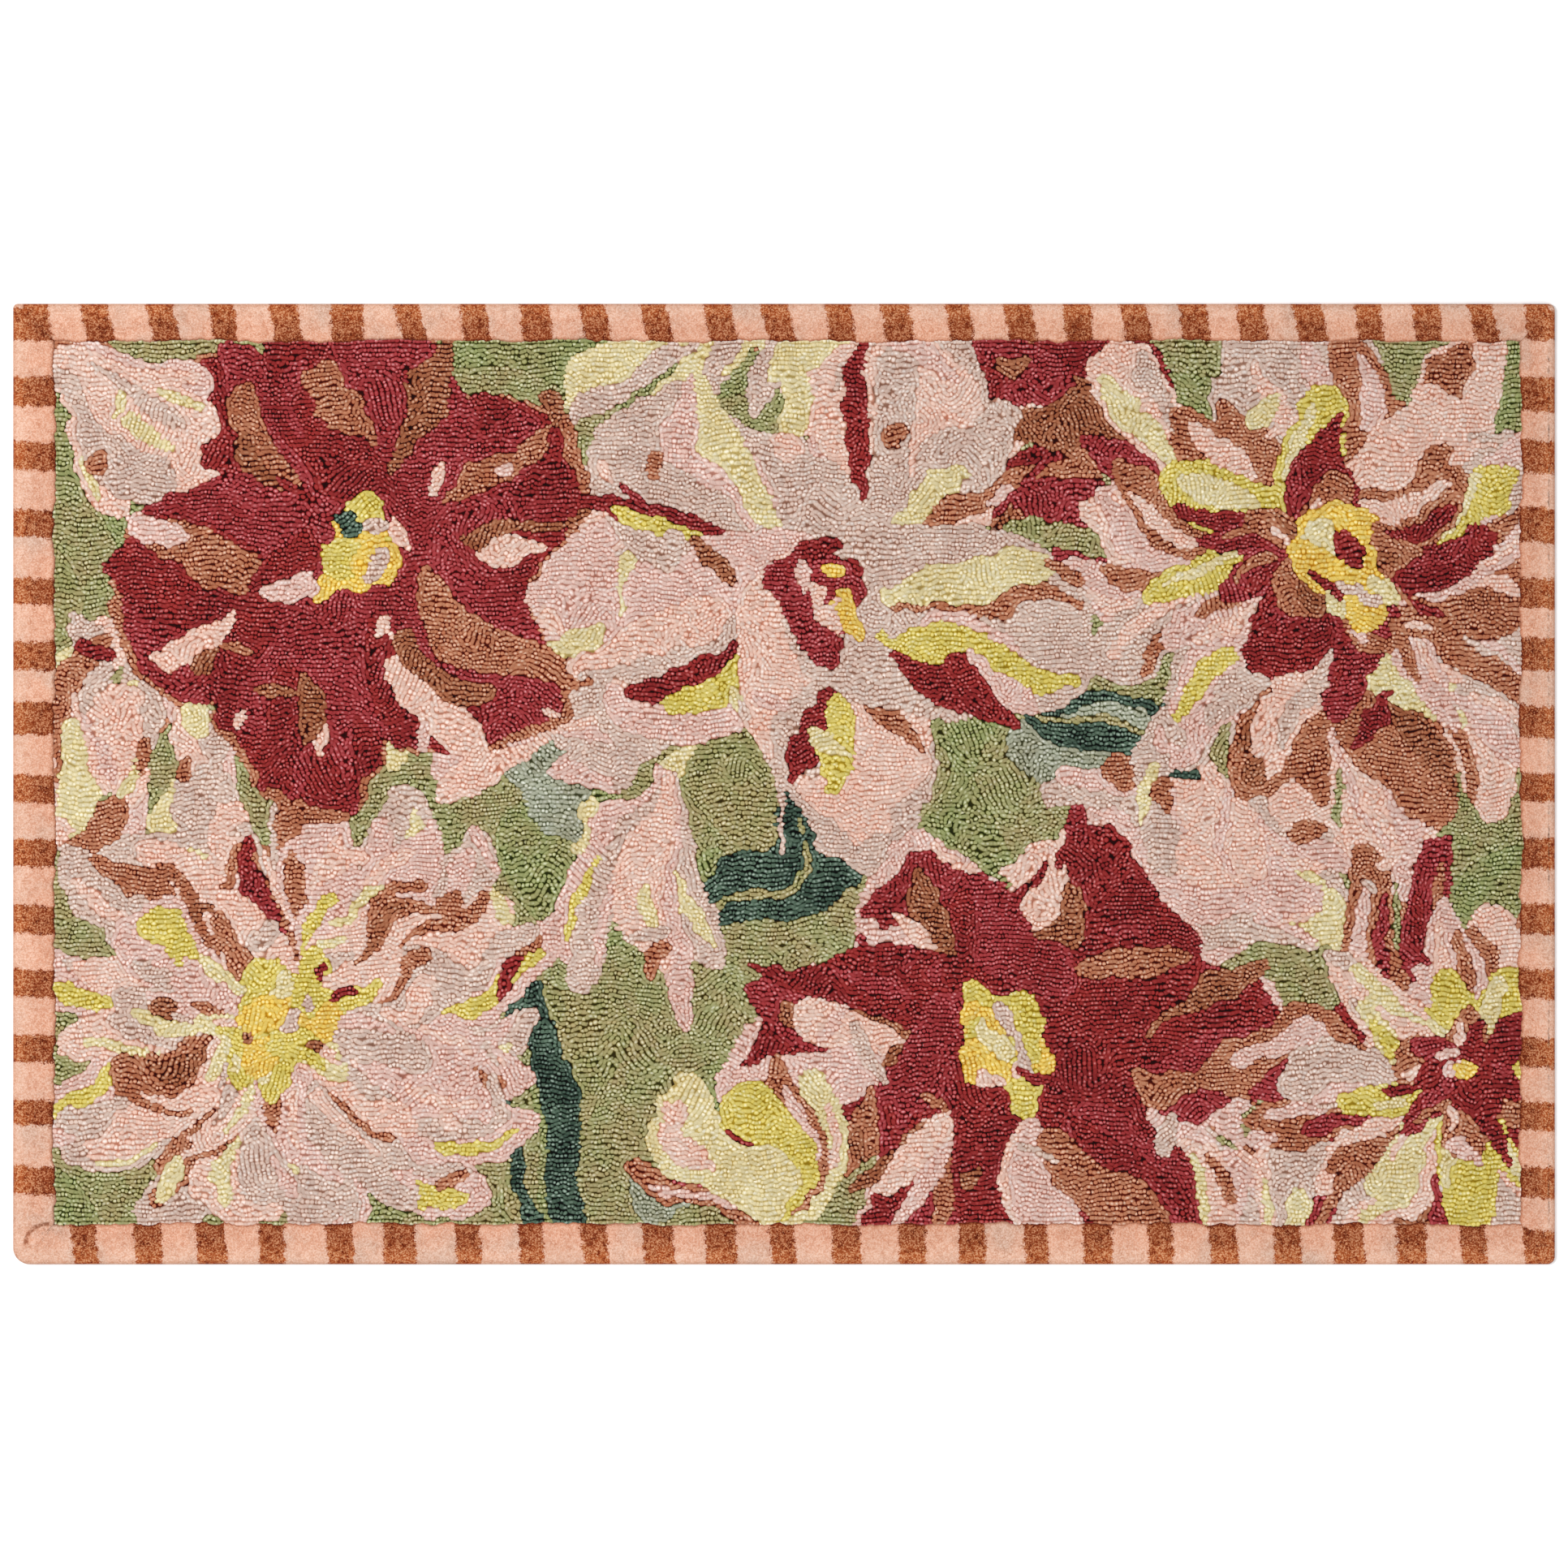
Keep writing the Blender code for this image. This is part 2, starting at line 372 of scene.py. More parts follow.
def heart(sketch, centre, size, yarns):
    """A flower's heart: uneven blots of its first two yarns, and small dots of the others on top."""
    draws = sketch.draws
    sketch.spot(yarns[0], centre, size * 0.7)
    for k in range(9):
        angle = 2 * math.pi * k / 9 + draws.normal(0, 0.3)
        inner = polar(centre, size * draws.uniform(0.2, 0.7), angle)
        outer = polar(inner, size * draws.uniform(0.1, 0.5), angle + draws.normal(0, 0.8))
        yarn = yarns[0] if k % 3 else yarns[1]
        sketch.stroke(yarn, inner, inner, outer, size * draws.uniform(0.22, 0.42), 1.0, 0.4, 0.6)
    for k in range(4):
        at = polar(centre, size * draws.uniform(0.1, 0.8), draws.uniform(0, 2 * math.pi))
        end = polar(at, size * draws.uniform(0.1, 0.3), draws.uniform(0, 2 * math.pi))
        sketch.stroke(yarns[2 + k % (len(yarns) - 2)], at, at, end, size * 0.16, 1.0, 0.4, 0.5)


def dahlia(sketch, centre, radius, rings, turn, yarns, under):
    """A many-petalled flower: rings of petals from the outside in, round a heart.

    Each ring is (petals, reach, root, width, palette), the lengths as shares of the radius.
    """
    draws = sketch.draws
    sketch.spot(under, centre, radius * 0.62)
    for i, (count, reach, root, width, palette) in enumerate(rings):
        for k in range(count):
            angle = turn + 2 * math.pi * (k + 0.5 * (i % 2)) / count + draws.normal(0, 0.07)
            colours = palette[draws.integers(len(palette))]
            outer = radius * reach * draws.uniform(0.88, 1.1)
            thick = radius * width * draws.uniform(0.85, 1.15)
            petal(sketch, centre, radius * root, outer, angle, thick, draws.uniform(-0.2, 0.32), colours)
    heart(sketch, centre, radius * 0.17, yarns)


def poppy(sketch, centre, radius, petals, turn, bodies, rim, streaks, yarns):
    """An open flower of a few broad petals, each with a rim and streaks, round a heart."""
    draws = sketch.draws
    for k in range(petals):
        angle = turn + 2 * math.pi * k / petals + draws.normal(0, 0.06)
        reach = radius * draws.uniform(0.84, 1.08)
        root = polar(centre, radius * 0.1, angle)
        for yarn, out in ((rim, 0.86), (bodies[k % len(bodies)], 0.78)):
            tip = polar(centre, reach * out, angle + 0.05)
            sketch.stroke(yarn, root, polar(centre, reach * 0.57, angle), tip, radius * 0.36, 0.55, 0.5, 0.1)
        other = bodies[(k + 1) % len(bodies)]
        flank = angle + draws.choice((-1, 1)) * 0.24
        begin = polar(centre, reach * 0.35, flank)
        end = polar(centre, reach * draws.uniform(0.75, 0.95), flank)
        sketch.stroke(other, begin, polar(centre, reach * 0.6, flank * 1.02), end, radius * 0.13, 0.8)
        for j in range(5):
            way = angle + (j - 2) * 0.17 + draws.normal(0, 0.03)
            yarn = streaks[(j + k) % len(streaks)]
            if yarn:
                begin = polar(centre, radius * draws.uniform(0.2, 0.3), way * 0.8 + angle * 0.2)
                end = polar(centre, reach * draws.uniform(0.66, 1.0), way + draws.normal(0, 0.07))
                thick = radius * draws.uniform(0.04, 0.085)
                sketch.stroke(yarn, begin, polar(centre, reach * 0.6, way), end, thick, 0.9, 0.6)
    heart(sketch, centre, radius * 0.2, yarns)


def leaf(sketch, root, tip, width, body, rib, side, bend):
    """A broad leaf with a rib and one side in another green."""
    root, tip = np.array(root), np.array(tip)
    along = tip - root
    across = np.array([-along[1], along[0]])
    middle = (root + tip) / 2 + across * bend
    shift = across / np.hypot(*across) * width * 0.42
    begin, end = root + along * 0.1 + shift * 0.5, tip - along * 0.15
    sketch.stroke(body, root, middle, tip, width, 0.8, 0.7)
    sketch.stroke(side, begin, middle + shift, end, width * 0.42, 0.8, 0.7)
    sketch.stroke(rib, root, middle, root + along * 0.86, width * 0.13, 0.6, 0.5, 0.3)


def fan(sketch, foot, reach, way, spread, count, width, palette):
    """A half-open flower seen from the side: petals spread from its foot, the outer ones first."""
    draws = sketch.draws
    for offset in sorted(np.linspace(-spread, spread, count), key=abs, reverse=True):
        colours = palette[draws.integers(len(palette))]
        long = reach * draws.uniform(0.85, 1.1) * (1 - 0.15 * abs(offset))
        turn = way + offset + draws.normal(0, 0.06)
        thick = width * draws.uniform(0.8, 1.2)
        petal(sketch, foot, reach * 0.06, long, turn, thick, -0.3 * offset, colours)


def accents(sketch, count, over):
    """Small loose strokes over the petals, each of a yarn that goes over the one below it."""
    draws = sketch.draws
    for _ in range(count):
        at = draws.uniform(FIELD_LOW + 0.03, FIELD_HIGH - 0.03)
        nearest = np.argmin(np.abs(sketch.x - at[0]) + np.abs(sketch.y - at[1]))
        below = sketch.names[sketch.yarn[nearest]]
        if below not in over:
            continue
        way = 1.6 * math.sin(4.0 * at[0] - 1.0) + 1.2 * math.sin(5.0 * at[1]) + draws.normal(0, 0.4)
        step = np.array([math.cos(way), math.sin(way)]) * draws.uniform(0.015, 0.055)
        bow = np.array([-step[1], step[0]]) * draws.uniform(-0.6, 0.6)
        yarn = over[below][draws.integers(len(over[below]))]
        thick, belly = draws.uniform(0.008, 0.018), draws.uniform(0.7, 1.3)
        sketch.stroke(yarn, at - step, at + bow, at + step, thick, belly)


def drift(sketch, centre, spread, count, length, width, palette, way):
    """Loose brush strokes over an oval, which follow one slowly turning direction."""
    draws = sketch.draws
    for _ in range(count):
        angle, reach = draws.uniform(0, 2 * math.pi), math.sqrt(draws.random())
        at = np.array(centre) + reach * np.array(spread) * (math.cos(angle), math.sin(angle))
        turn = way + 0.72 * math.sin(5.0 * at[0] + 3.0 * at[1]) + draws.normal(0, 0.18)
        step = np.array([math.cos(turn), math.sin(turn)]) * length * draws.uniform(0.3, 0.6)
        bow = np.array([-step[1], step[0]]) * draws.uniform(-0.7, 0.7)
        thick = width * draws.uniform(0.6, 1.15)
        yarn = palette[draws.integers(len(palette))]
        sketch.stroke(yarn, at - step, at + bow, at + step, thick, draws.uniform(0.7, 1.3), 0.55)


# Petal palettes: body, shaded side, light side
RED = (("wine", "russet", "blush"), ("brick", "wine", "terracotta"), ("wine", "brick", "peach_pink"))
DEEP = (("wine", "brick", None), ("brick", "wine", "terracotta"), ("terracotta", "wine", "peach_pink"))
PINK = (
    ("peach_pink", "greige", "lime"),
    ("blush", "terracotta", "peach_pink"),
    ("greige", "blush", None),
    ("peach_pink", "terracotta", None),
)
PALE = (
    ("greige", "blush", "lime"),
    ("greige", "terracotta", "peach_pink"),
    ("blush", "greige", "chartreuse"),
)
WARM = (("terracotta", "russet", "peach_pink"), ("terracotta", "brick", "blush"))
SUN = (
    ("chartreuse", "lime", None),
    ("lime", "chartreuse", "peach_pink"),
    ("chartreuse", "wine", "lime"),
)

# The yarns of the loose strokes over each yarn: light ones over the dark and dark ones over the light
OVER = {
    "wine": ("brick", "terracotta", "blush", "russet", "brick"),
    "brick": ("wine", "wine", "terracotta", "peach_pink"),
    "peach_pink": ("greige", "terracotta", "lime", "wine", "greige", "blush"),
    "blush": ("peach_pink", "greige", "russet", "lime", "peach_pink"),
    "greige": ("peach_pink", "blush", "lime", "terracotta", "peach_pink"),
    "terracotta": ("russet", "blush", "wine"),
    "chartreuse": ("lime", "wine", "greige"),
}

# The hand's unsteadiness bends the whole drawing: how far, and over what length
UNSTEADY = ((0.024, 0.42), (0.009, 0.12), (0.0028, 0.045))

# Where the random draws of that bending start, and those of the strokes
BENDING_SEED = 57
STROKE_SEED = 7

# The cool patches of the ground: where each starts, and its half width
COOL_PATCHES = (
    ((0.40, 0.03), 0.07),
    ((-0.20, -0.66), 0.05),
    ((-0.40, -0.02), 0.045),
    ((0.60, -0.66), 0.04),
)


def draw_garden(x, y):
    """The yarn at each place: a painted-looking garden of open flowers over a green ground."""
    draws = np.random.default_rng(BENDING_SEED)
    bent = []
    for values in (x, y):
        bent.append(values + sum(far * waves(x, y, draws, size) for far, size in UNSTEADY))
    sketch = Sketch(*bent, STROKE_SEED)
    tone = waves(x, y, draws, 0.35)
    sketch.fill(tone > 0.5, "moss")
    sketch.fill(tone < -0.55, "leaf")
    for at, size in COOL_PATCHES:
        middle, end = np.add(at, (0.03, 0.02)), np.add(at, (0.08, -0.01))
        sketch.stroke("blue_grey", at, middle, end, size, 1, 0.5, 0.5)

    # Loose petals behind the flowers
    pinks = ("blush", "greige", "peach_pink", "greige", "terracotta", "blush", "lime", "peach_pink")
    drift(sketch, (-0.34, 0.16), (0.20, 0.22), 34, 0.24, 0.038, pinks, 1.2)
    reds = ("brick", "wine", "terracotta", "wine", "russet", "peach_pink")
    drift(sketch, (0.44, 0.52), (0.30, 0.18), 44, 0.24, 0.038, reds, 0.5)
    limes = ("chartreuse", "lime", "greige", "lime", "terracotta", "peach_pink")
    drift(sketch, (-0.10, 0.66), (0.24, 0.08), 18, 0.22, 0.035, limes, 0.2)
    drift(sketch, (0.72, -0.12), (0.30, 0.14), 34, 0.22, 0.034, pinks, -0.5)
    drift(sketch, (-1.06, 0.02), (0.20, 0.18), 30, 0.20, 0.034, pinks, 0.9)
    drift(sketch, (0.84, -0.60), (0.24, 0.14), 24, 0.20, 0.034, pinks, 1.0)
    sketch.stroke("blush", (0.63, -0.125), (0.685, -0.143), (0.74, -0.158), 0.024, 1.0, 0.5, 0.5)

    # Leaves in the gaps
    leaf(sketch, (-0.32, -0.74), (-0.40, -0.30), 0.075, "teal", "leaf", "olive", 0.14)
    leaf(sketch, (0.40, 0.12), (0.66, -0.02), 0.065, "teal", "moss", "blue_grey", 0.2)
    leaf(sketch, (-0.08, -0.12), (-0.30, -0.24), 0.05, "leaf", "moss", "olive", 0.2)
    leaf(sketch, (-0.13, -0.20), (0.15, 0.01), 0.055, "teal", "moss", "teal", -0.12)

    # Flowers
    rings = (
        (14, 1.0, 0.45, 0.13, PALE),
        (13, 0.84, 0.3, 0.12, PINK),
        (11, 0.66, 0.15, 0.11, WARM + PALE),
        (9, 0.46, 0.08, 0.09, PINK),
        (7, 0.30, 0.05, 0.07, SUN),
    )
    yarns = ("chartreuse", "mustard", "russet", "greige")
    dahlia(sketch, (-0.78, -0.38), 0.44, rings, 0.2, yarns, "russet")
    rings = (
        (13, 1.0, 0.4, 0.14, PINK),
        (12, 0.84, 0.3, 0.13, PALE + WARM),
        (10, 0.66, 0.18, 0.11, SUN + PINK),
        (8, 0.46, 0.06, 0.1, DEEP),
        (6, 0.28, 0.04, 0.07, WARM),
    )
    yarns = ("mustard", "lime", "wine", "greige")
    dahlia(sketch, (0.88, 0.34), 0.46, rings, 0.5, yarns, "terracotta")
    streaks = ("peach_pink", "russet", "brick", "terracotta", None, "wine")
    yarns = ("mustard", "chartreuse", "greige", "teal")
    poppy(sketch, (-0.70, 0.36), 0.46, 6, 0.3, ("wine", "brick"), "terracotta", streaks, yarns)
    streaks = ("terracotta", "lime", None, "greige", "wine", "chartreuse", None)
    bodies, yarns = ("peach_pink", "greige", "blush"), ("brick", "wine", "mustard", "blush")
    poppy(sketch, (0.06, 0.30), 0.44, 5, 1.1, bodies, "greige", streaks, yarns)
    streaks = ("blush", "terracotta", None, "wine", "russet", "peach_pink")
    yarns = ("chartreuse", "mustard", "peach_pink", "greige")
    poppy(sketch, (0.36, -0.42), 0.46, 6, 0.0, ("brick", "wine"), "blush", streaks, yarns)
    rings = (
        (12, 1.0, 0.4, 0.15, WARM + RED),
        (10, 0.76, 0.2, 0.14, PINK),
        (8, 0.5, 0.1, 0.11, SUN),
        (6, 0.3, 0.05, 0.08, DEEP),
    )
    yarns = ("wine", "brick", "mustard", "blush")
    dahlia(sketch, (1.08, -0.48), 0.38, rings, 0.1, yarns, "wine")
    fan(sketch, (-0.20, -0.02), 0.34, -1.75, 0.7, 6, 0.05, PINK + PALE)
    fan(sketch, (-0.02, -0.72), 0.30, 1.9, 0.8, 6, 0.045, SUN + WARM)
    sketch.spot("terracotta", (-1.14, 0.69), 0.07)
    fan(sketch, (-1.16, 0.68), 0.32, -0.7, 0.6, 5, 0.05, PALE + PINK)
    accents(sketch, 150, OVER)
    return sketch.yarn


# The field's loops

# One loop as a little roof: a six-sided foot and a ridge of three points, in shares of half a
# pitch along the row, half a pitch across it, and the depth of a crease. The foot is wider than
# the pitch, so neighbours run into each other and meet in a crease.
LOOP_POINTS = np.array(
    [
        (-2.60, 0.0, -2.30),
        (-1.45, -2.10, -2.30),
        (1.45, -2.10, -2.30),
        (2.60, 0.0, -2.30),
        (1.45, 2.10, -2.30),
        (-1.45, 2.10, -2.30),
        (-1.12, 0.0, -0.10),
        (0.0, 0.0, 0.0),
        (1.12, 0.0, -0.10),
    ]
)
ON_RIDGE = LOOP_POINTS[:, 2] > -0.5
FRONT_FACES = [(0, 1, 6), (1, 7, 6), (1, 2, 7), (2, 8, 7), (2, 3, 8)]
BACK_FACES = [(3, 4, 8), (4, 7, 8), (4, 5, 7), (5, 6, 7), (5, 0, 6)]
LOOP_FACES = np.array(FRONT_FACES + BACK_FACES)

# The loops' own map: units for each loop and each row
MAP_CELL = 4.0

# How far the field's outermost loops are tucked under the border's pile
TUCK = 0.0010

# The cell of the grid that the design is drawn on
DESIGN_CELL = 0.002


def bend_rows(along, across, look, draws):
    """Turns round patches of straight rows, then bends all rows, but for those at the field's edge.

    A patch turns as a whole, and the turn fades out in a ring about it. The sum of smooth waves
    then moves every point.
    """
    edge = np.minimum.reduce([along, FIELD_SIZE[0] - along, across, FIELD_SIZE[1] - across])
    for _ in range(look.patches):
        reach = draws.uniform(0.03, 0.09)
        centre = draws.uniform((reach, reach), FIELD_SIZE - reach)
        turn = look.patch_turn * draws.uniform(0.2, 1.0) * draws.choice((-1, 1))
        x, y = along - centre[0], across - centre[1]
        angle = turn * rise(reach, 0.5 * reach, np.hypot(x, y))
        along = centre[0] + x * np.cos(angle) - y * np.sin(angle)
        across = centre[1] + x * np.sin(angle) + y * np.cos(angle)
    fade = rise(0.0, 0.05, edge)
    near_fade = rise(0.0, 0.012, edge)
    for size, share in ((0.24, 1.0), (0.08, 0.3)):
        along = along + fade * share * look.wave * waves(along, across, draws, size)
        across = across + fade * share * look.wave * waves(along, across, draws, size)
    across = across + near_fade * look.wiggle * waves(along, across, draws, 0.020)
    return along, across


def to_seam(along, across):
    """From the flat field to the rug: its edges follow the seam's wander on all four sides."""
    share_x = np.clip(along / FIELD_SIZE[0], 0, 1)
    share_y = np.clip(across / FIELD_SIZE[1], 0, 1)
    left, right = -seam_offset("left", share_y), seam_offset("right", share_y)
    front, back = -seam_offset("front", share_x), seam_offset("back", share_x)
    x = FIELD_LOW[0] + along + left * (1 - share_x) + right * share_x
    y = FIELD_LOW[1] + across + front * (1 - share_y) + back * share_y
    return x, y


def lay_rows(look, draws):
    """The middles of all loops in bent rows, row by row, and how long each is."""
    rows = round(FIELD_SIZE[1] / look.row_pitch)
    loops = round(FIELD_SIZE[0] / look.loop_pitch)
    length = 1 + np.clip(draws.normal(0, 0.18, (rows, loops)), -0.4, 0.4)
    length[:, 0] += draws.uniform(0, 0.6, rows)
    ends = np.cumsum(length, axis=1)
    along = (ends - length / 2) / ends[:, -1:] * (FIELD_SIZE[0] + 2 * TUCK) - TUCK
    across = np.arange(rows)[:, None] + 0.5 + np.clip(draws.normal(0, 0.05, (rows, loops)), -0.12, 0.12)
    across = across / rows * (FIELD_SIZE[1] + 2 * TUCK) - TUCK
    return *bend_rows(along, across, look, draws), length


def nearest_edges(yarn, cell):
    """For each cell of a grid of yarns, the nearest point where two yarns meet, in cells.

    Cells beside a change of yarn start with the point between them. In a few rounds with ever
    shorter jumps, each cell takes over its neighbour's point where that one is nearer.
    """
    rows, columns = yarn.shape
    here = np.stack(np.meshgrid(np.arange(columns) + 0.5, np.arange(rows) + 0.5), axis=-1)
    best = np.full((rows, columns, 2), 1e6)
    beside = (np.s_[:, :-1], np.s_[:, 1:], (0.5, 0.0)), (np.s_[:-1], np.s_[1:], (0.0, 0.5))
    for one, next_one, half_cell in beside:
        change = yarn[one] != yarn[next_one]
        point = (here[one] + half_cell)[change]
        best[one][change] = point
        best[next_one][change] = point
    away = np.hypot(*(here - best).transpose(2, 0, 1))

    def moved(down, right):
        """The part of the grid that is still on it when moved back by so many cells."""
        return tuple(slice(max(0, by), size + min(0, by)) for by, size in ((down, rows), (right, columns)))

    for jump in (8, 4, 2, 1, 1):
        for down in (-jump, 0, jump):
            for right in (-jump, 0, jump):
                target, source = moved(down, right), moved(-down, -right)
                far = np.hypot(*(here[target] - best[source]).transpose(2, 0, 1))
                nearer = far < away[target]
                best[target][nearer] = best[source][nearer]
                away[target][nearer] = far[nearer]
    return best * cell, away * cell


def soften(values, rounds):
    """Averages each value of a grid with its neighbours, again and again."""
    for _ in range(rounds):
        for axis in (0, 1):
            padded = np.pad(values, [(1, 1) if a == axis else (0, 0) for a in (0, 1)], mode="edge")
            low = np.take(padded, range(0, values.shape[axis]), axis=axis)
            high = np.take(padded, range(2, values.shape[axis] + 2), axis=axis)
            values = (low + 2 * values + high) / 4
    return values


class DesignMap:
    """The design on a fine grid, with the way to the nearest change of yarn from each cell."""

    def __init__(self, cell):
        self.cell = cell
        columns, rows = (int(count) for count in np.ceil(FIELD_SIZE / cell))
        x, y = np.meshgrid(np.arange(columns) + 0.5, np.arange(rows) + 0.5)
        x, y = FIELD_LOW[0] + x * cell, FIELD_LOW[1] + y * cell
        drawn = draw_garden(x.ravel(), y.ravel()).reshape(rows, columns)
        # Each cell takes the commonest yarn about it, so nothing thinner than a row is left
        shares = [soften((drawn == index).astype(np.float32), 5) for index in range(len(YARNS))]
        self.yarn = np.stack(shares).argmax(0)
        self.edge, self.away = nearest_edges(self.yarn, cell)
        # The way along the nearest outline, as the cosine and sine of twice its angle, so that
        # both sides of an outline give the same way and can be averaged
        slope_y, slope_x = np.gradient(np.minimum(self.away, 0.03))
        cosine, sine = soften(slope_y**2 - slope_x**2, 4), soften(-2 * slope_x * slope_y, 4)
        self.way = np.stack([cosine, sine], axis=-1)

    def look_up(self, x, y):
        """The row and the column of the cell at each place."""
        rows, columns = self.yarn.shape
        column = np.clip(((x - FIELD_LOW[0]) / self.cell).astype(int), 0, columns - 1)
        row = np.clip(((y - FIELD_LOW[1]) / self.cell).astype(int), 0, rows - 1)
        return row, column


def nearby(spot, cell, slots=5):
    """For each spot, the numbers of those in the nine cells about it, and its own to fill up."""
    place = ((spot - spot.min(0)) / cell).astype(int) + 1
    columns, rows = place.max(0) + 2
    index = place[:, 1] * columns + place[:, 0]
    order = np.argsort(index, kind="stable")
    in_order = index[order]
    rank = np.arange(len(order)) - np.searchsorted(in_order, in_order)
    kept = rank < slots
    table = np.full((columns * rows, slots), -1)
    table[in_order[kept], rank[kept]] = order[kept]
    found = [table[index + down * columns + right] for down in (-1, 0, 1) for right in (-1, 0, 1)]
    found = np.concatenate(found, axis=1)
    return np.where(found < 0, np.arange(len(spot))[:, None], found)


def distances(spot, others, way, look):
    """From each spot to its others: the steps, and the distance in pitches along and across its way."""
    gap = spot[others] - spot[:, None]
    ahead_x, ahead_y = np.cos(way)[:, None], np.sin(way)[:, None]
    step_along = (gap[..., 0] * ahead_x + gap[..., 1] * ahead_y) / look.loop_pitch
    step_across = (gap[..., 1] * ahead_x - gap[..., 0] * ahead_y) / look.row_pitch
    return gap, np.hypot(step_along, step_across)


def settle(look, along, across, design, draws):
    """Hooks the outlines: loops keep off the changes of yarn, line up along some, and make room.

    Each round pushes a loop away from the nearest change of yarn until nearly half a row lies
    between, and away from neighbours that are nearer than one pitch, measured along and across its own
    direction. Loops near the field's edge hardly move.
    """
    x, y = to_seam(along, across)
    row_way = np.arctan2(np.gradient(y, axis=1), np.gradient(x, axis=1)).ravel()
    x, y = x.ravel(), y.ravel()
    yarn = design.yarn[design.look_up(x, y)]
    follow = rise(-0.2, 0.5, waves(x, y, draws, 0.15))
    edge = np.minimum.reduce([x - FIELD_LOW[0], FIELD_HIGH[0] - x, y - FIELD_LOW[1], FIELD_HIGH[1] - y])
    free = rise(0.002, 0.014, edge)[:, None]
    start = np.stack([x, y], axis=-1)
    spot = start.copy()
    keep_off = look.row_pitch * 0.40
    for turn in range(look.rounds):
        cell = design.look_up(spot[:, 0], spot[:, 1])
        away = spot - (design.edge[cell] + FIELD_LOW)
        far = np.maximum(np.hypot(away[:, 0], away[:, 1]), 1e-6)
        own = np.where(design.yarn[cell] == yarn, 1.0, -1.0)
        lack = np.clip(keep_off - own * far, 0, 2 * keep_off)
        push = (own * lack / far)[:, None] * away * 0.6

        weight = (1 - rise(0.005, 0.012, far)) * (0.15 + 0.85 * follow)
        turned = design.way[cell]
        strength = np.maximum(np.hypot(turned[:, 0], turned[:, 1]), 1e-6)
        double_x = (1 - weight) * np.cos(2 * row_way) + weight * turned[:, 0] / strength
        double_y = (1 - weight) * np.sin(2 * row_way) + weight * turned[:, 1] / strength
        way = np.arctan2(double_y, double_x) / 2
        if turn % 3 == 0:
            others = nearby(spot, look.row_pitch)
        gap, near = distances(spot, others, way, look)
        crowd = np.where(near > 1e-6, np.clip(1 - near, 0, 1), 0.0)
        push -= (gap * crowd[..., None]).sum(1) * 0.3
        push += (start - spot) * 0.02
        spot = spot + push * free
    # A loop with few others about it grows, so that no hole is left open
    _, near = distances(spot, nearby(spot, 1.5 * look.row_pitch, 9), way, look)
    company = np.where(near > 1e-6, np.clip(1.5 - near, 0, 1), 0.0).sum(1)
    room = np.clip(1.05 + 0.16 * (2.5 - company), 0.92, 1.30)
    return spot, way, yarn, room


def build_loops(look, yarns):
    """One piece for each yarn: a loop's little roof, set down and turned at each of its places."""
    draws = np.random.default_rng(look.seed)
    along, across, length = lay_rows(look, draws)
    spot, way, yarn, room = settle(look, along, across, DesignMap(DESIGN_CELL), draws)
    rows, loops = along.shape
    count, corners = rows * loops, len(LOOP_POINTS)
    way = way + look.skew * np.clip(draws.normal(0, 0.5, count), -1.5, 1.5)
    size_x = look.loop_pitch / 2 * room * np.clip(length.ravel(), 0.85, 1.25)
    size_y = look.row_pitch / 2 * room * (1 + np.clip(draws.normal(0, 0.04, count), -0.1, 0.1))
    top = FIELD_TOP - 0.0004 + np.clip(draws.normal(0, 0.0004, count), -0.0010, 0.0008)
    tip = draws.normal(0, 0.10, count)
    ridge = draws.uniform(0.80, 1.15, count)
    local_x, local_y, local_z = LOOP_POINTS.T
    far_x = local_x * size_x[:, None] * np.where(ON_RIDGE, ridge[:, None], 1.0)
    far_y = local_y * size_y[:, None]
    cosine, sine = np.cos(way)[:, None], np.sin(way)[:, None]
    points = np.empty((count, corners, 3))
    points[..., 0] = spot[:, None, 0] + far_x * cosine - far_y * sine
    points[..., 1] = spot[:, None, 1] + far_x * sine + far_y * cosine
    points[..., 2] = top[:, None] + (local_z + tip[:, None] * local_x) * look.crease

    # The map: a cell for each loop and each row, with the loop's own place about the middle
    numbers = np.stack([np.tile(np.arange(loops), rows), np.repeat(np.arange(rows), loops)], axis=-1)
    places = numbers[:, None] * MAP_CELL + MAP_CELL / 2 + LOOP_POINTS[None, :, :2] / 2
    in_cell = 0.5 + LOOP_POINTS[:, :2] / np.abs(LOOP_POINTS[:, :2]).max(0) * 0.49

    pieces = []
    for index, (name, (_, _, fleck, crease)) in enumerate(YARNS.items()):
        mine = np.flatnonzero(yarn == index)
        if not len(mine):
            continue
        faces = (np.arange(len(mine))[:, None, None] * corners + LOOP_FACES).reshape(-1, 3)
        side = math.ceil(math.sqrt(len(mine)))
        cell = np.stack([np.arange(len(mine)) % side, np.arange(len(mine)) // side], axis=-1)
        cells = (cell[:, None] + in_cell[None]) / side
        maps = {
            "loops": places[mine][:, LOOP_FACES].reshape(-1, 2),
            "OFBake": cells[:, LOOP_FACES].reshape(-1, 2),
        }
        finish = yarn_material(name, getattr(yarns, name), from_screen(fleck), crease)
        pieces.append(add_mesh(f"loops_{name}", points[mine].reshape(-1, 3), faces, finish, maps))
    return pieces


# The border

# The band's usual width, and the share of it that counts as the seam
USUAL_WIDTH = 0.06
SEAM_SHARE = 0.05

# The side of a tuft, and how far the rim's points run ahead of the seam's next to a corner
TUFT = 0.0031
CORNER_FAN = 0.06


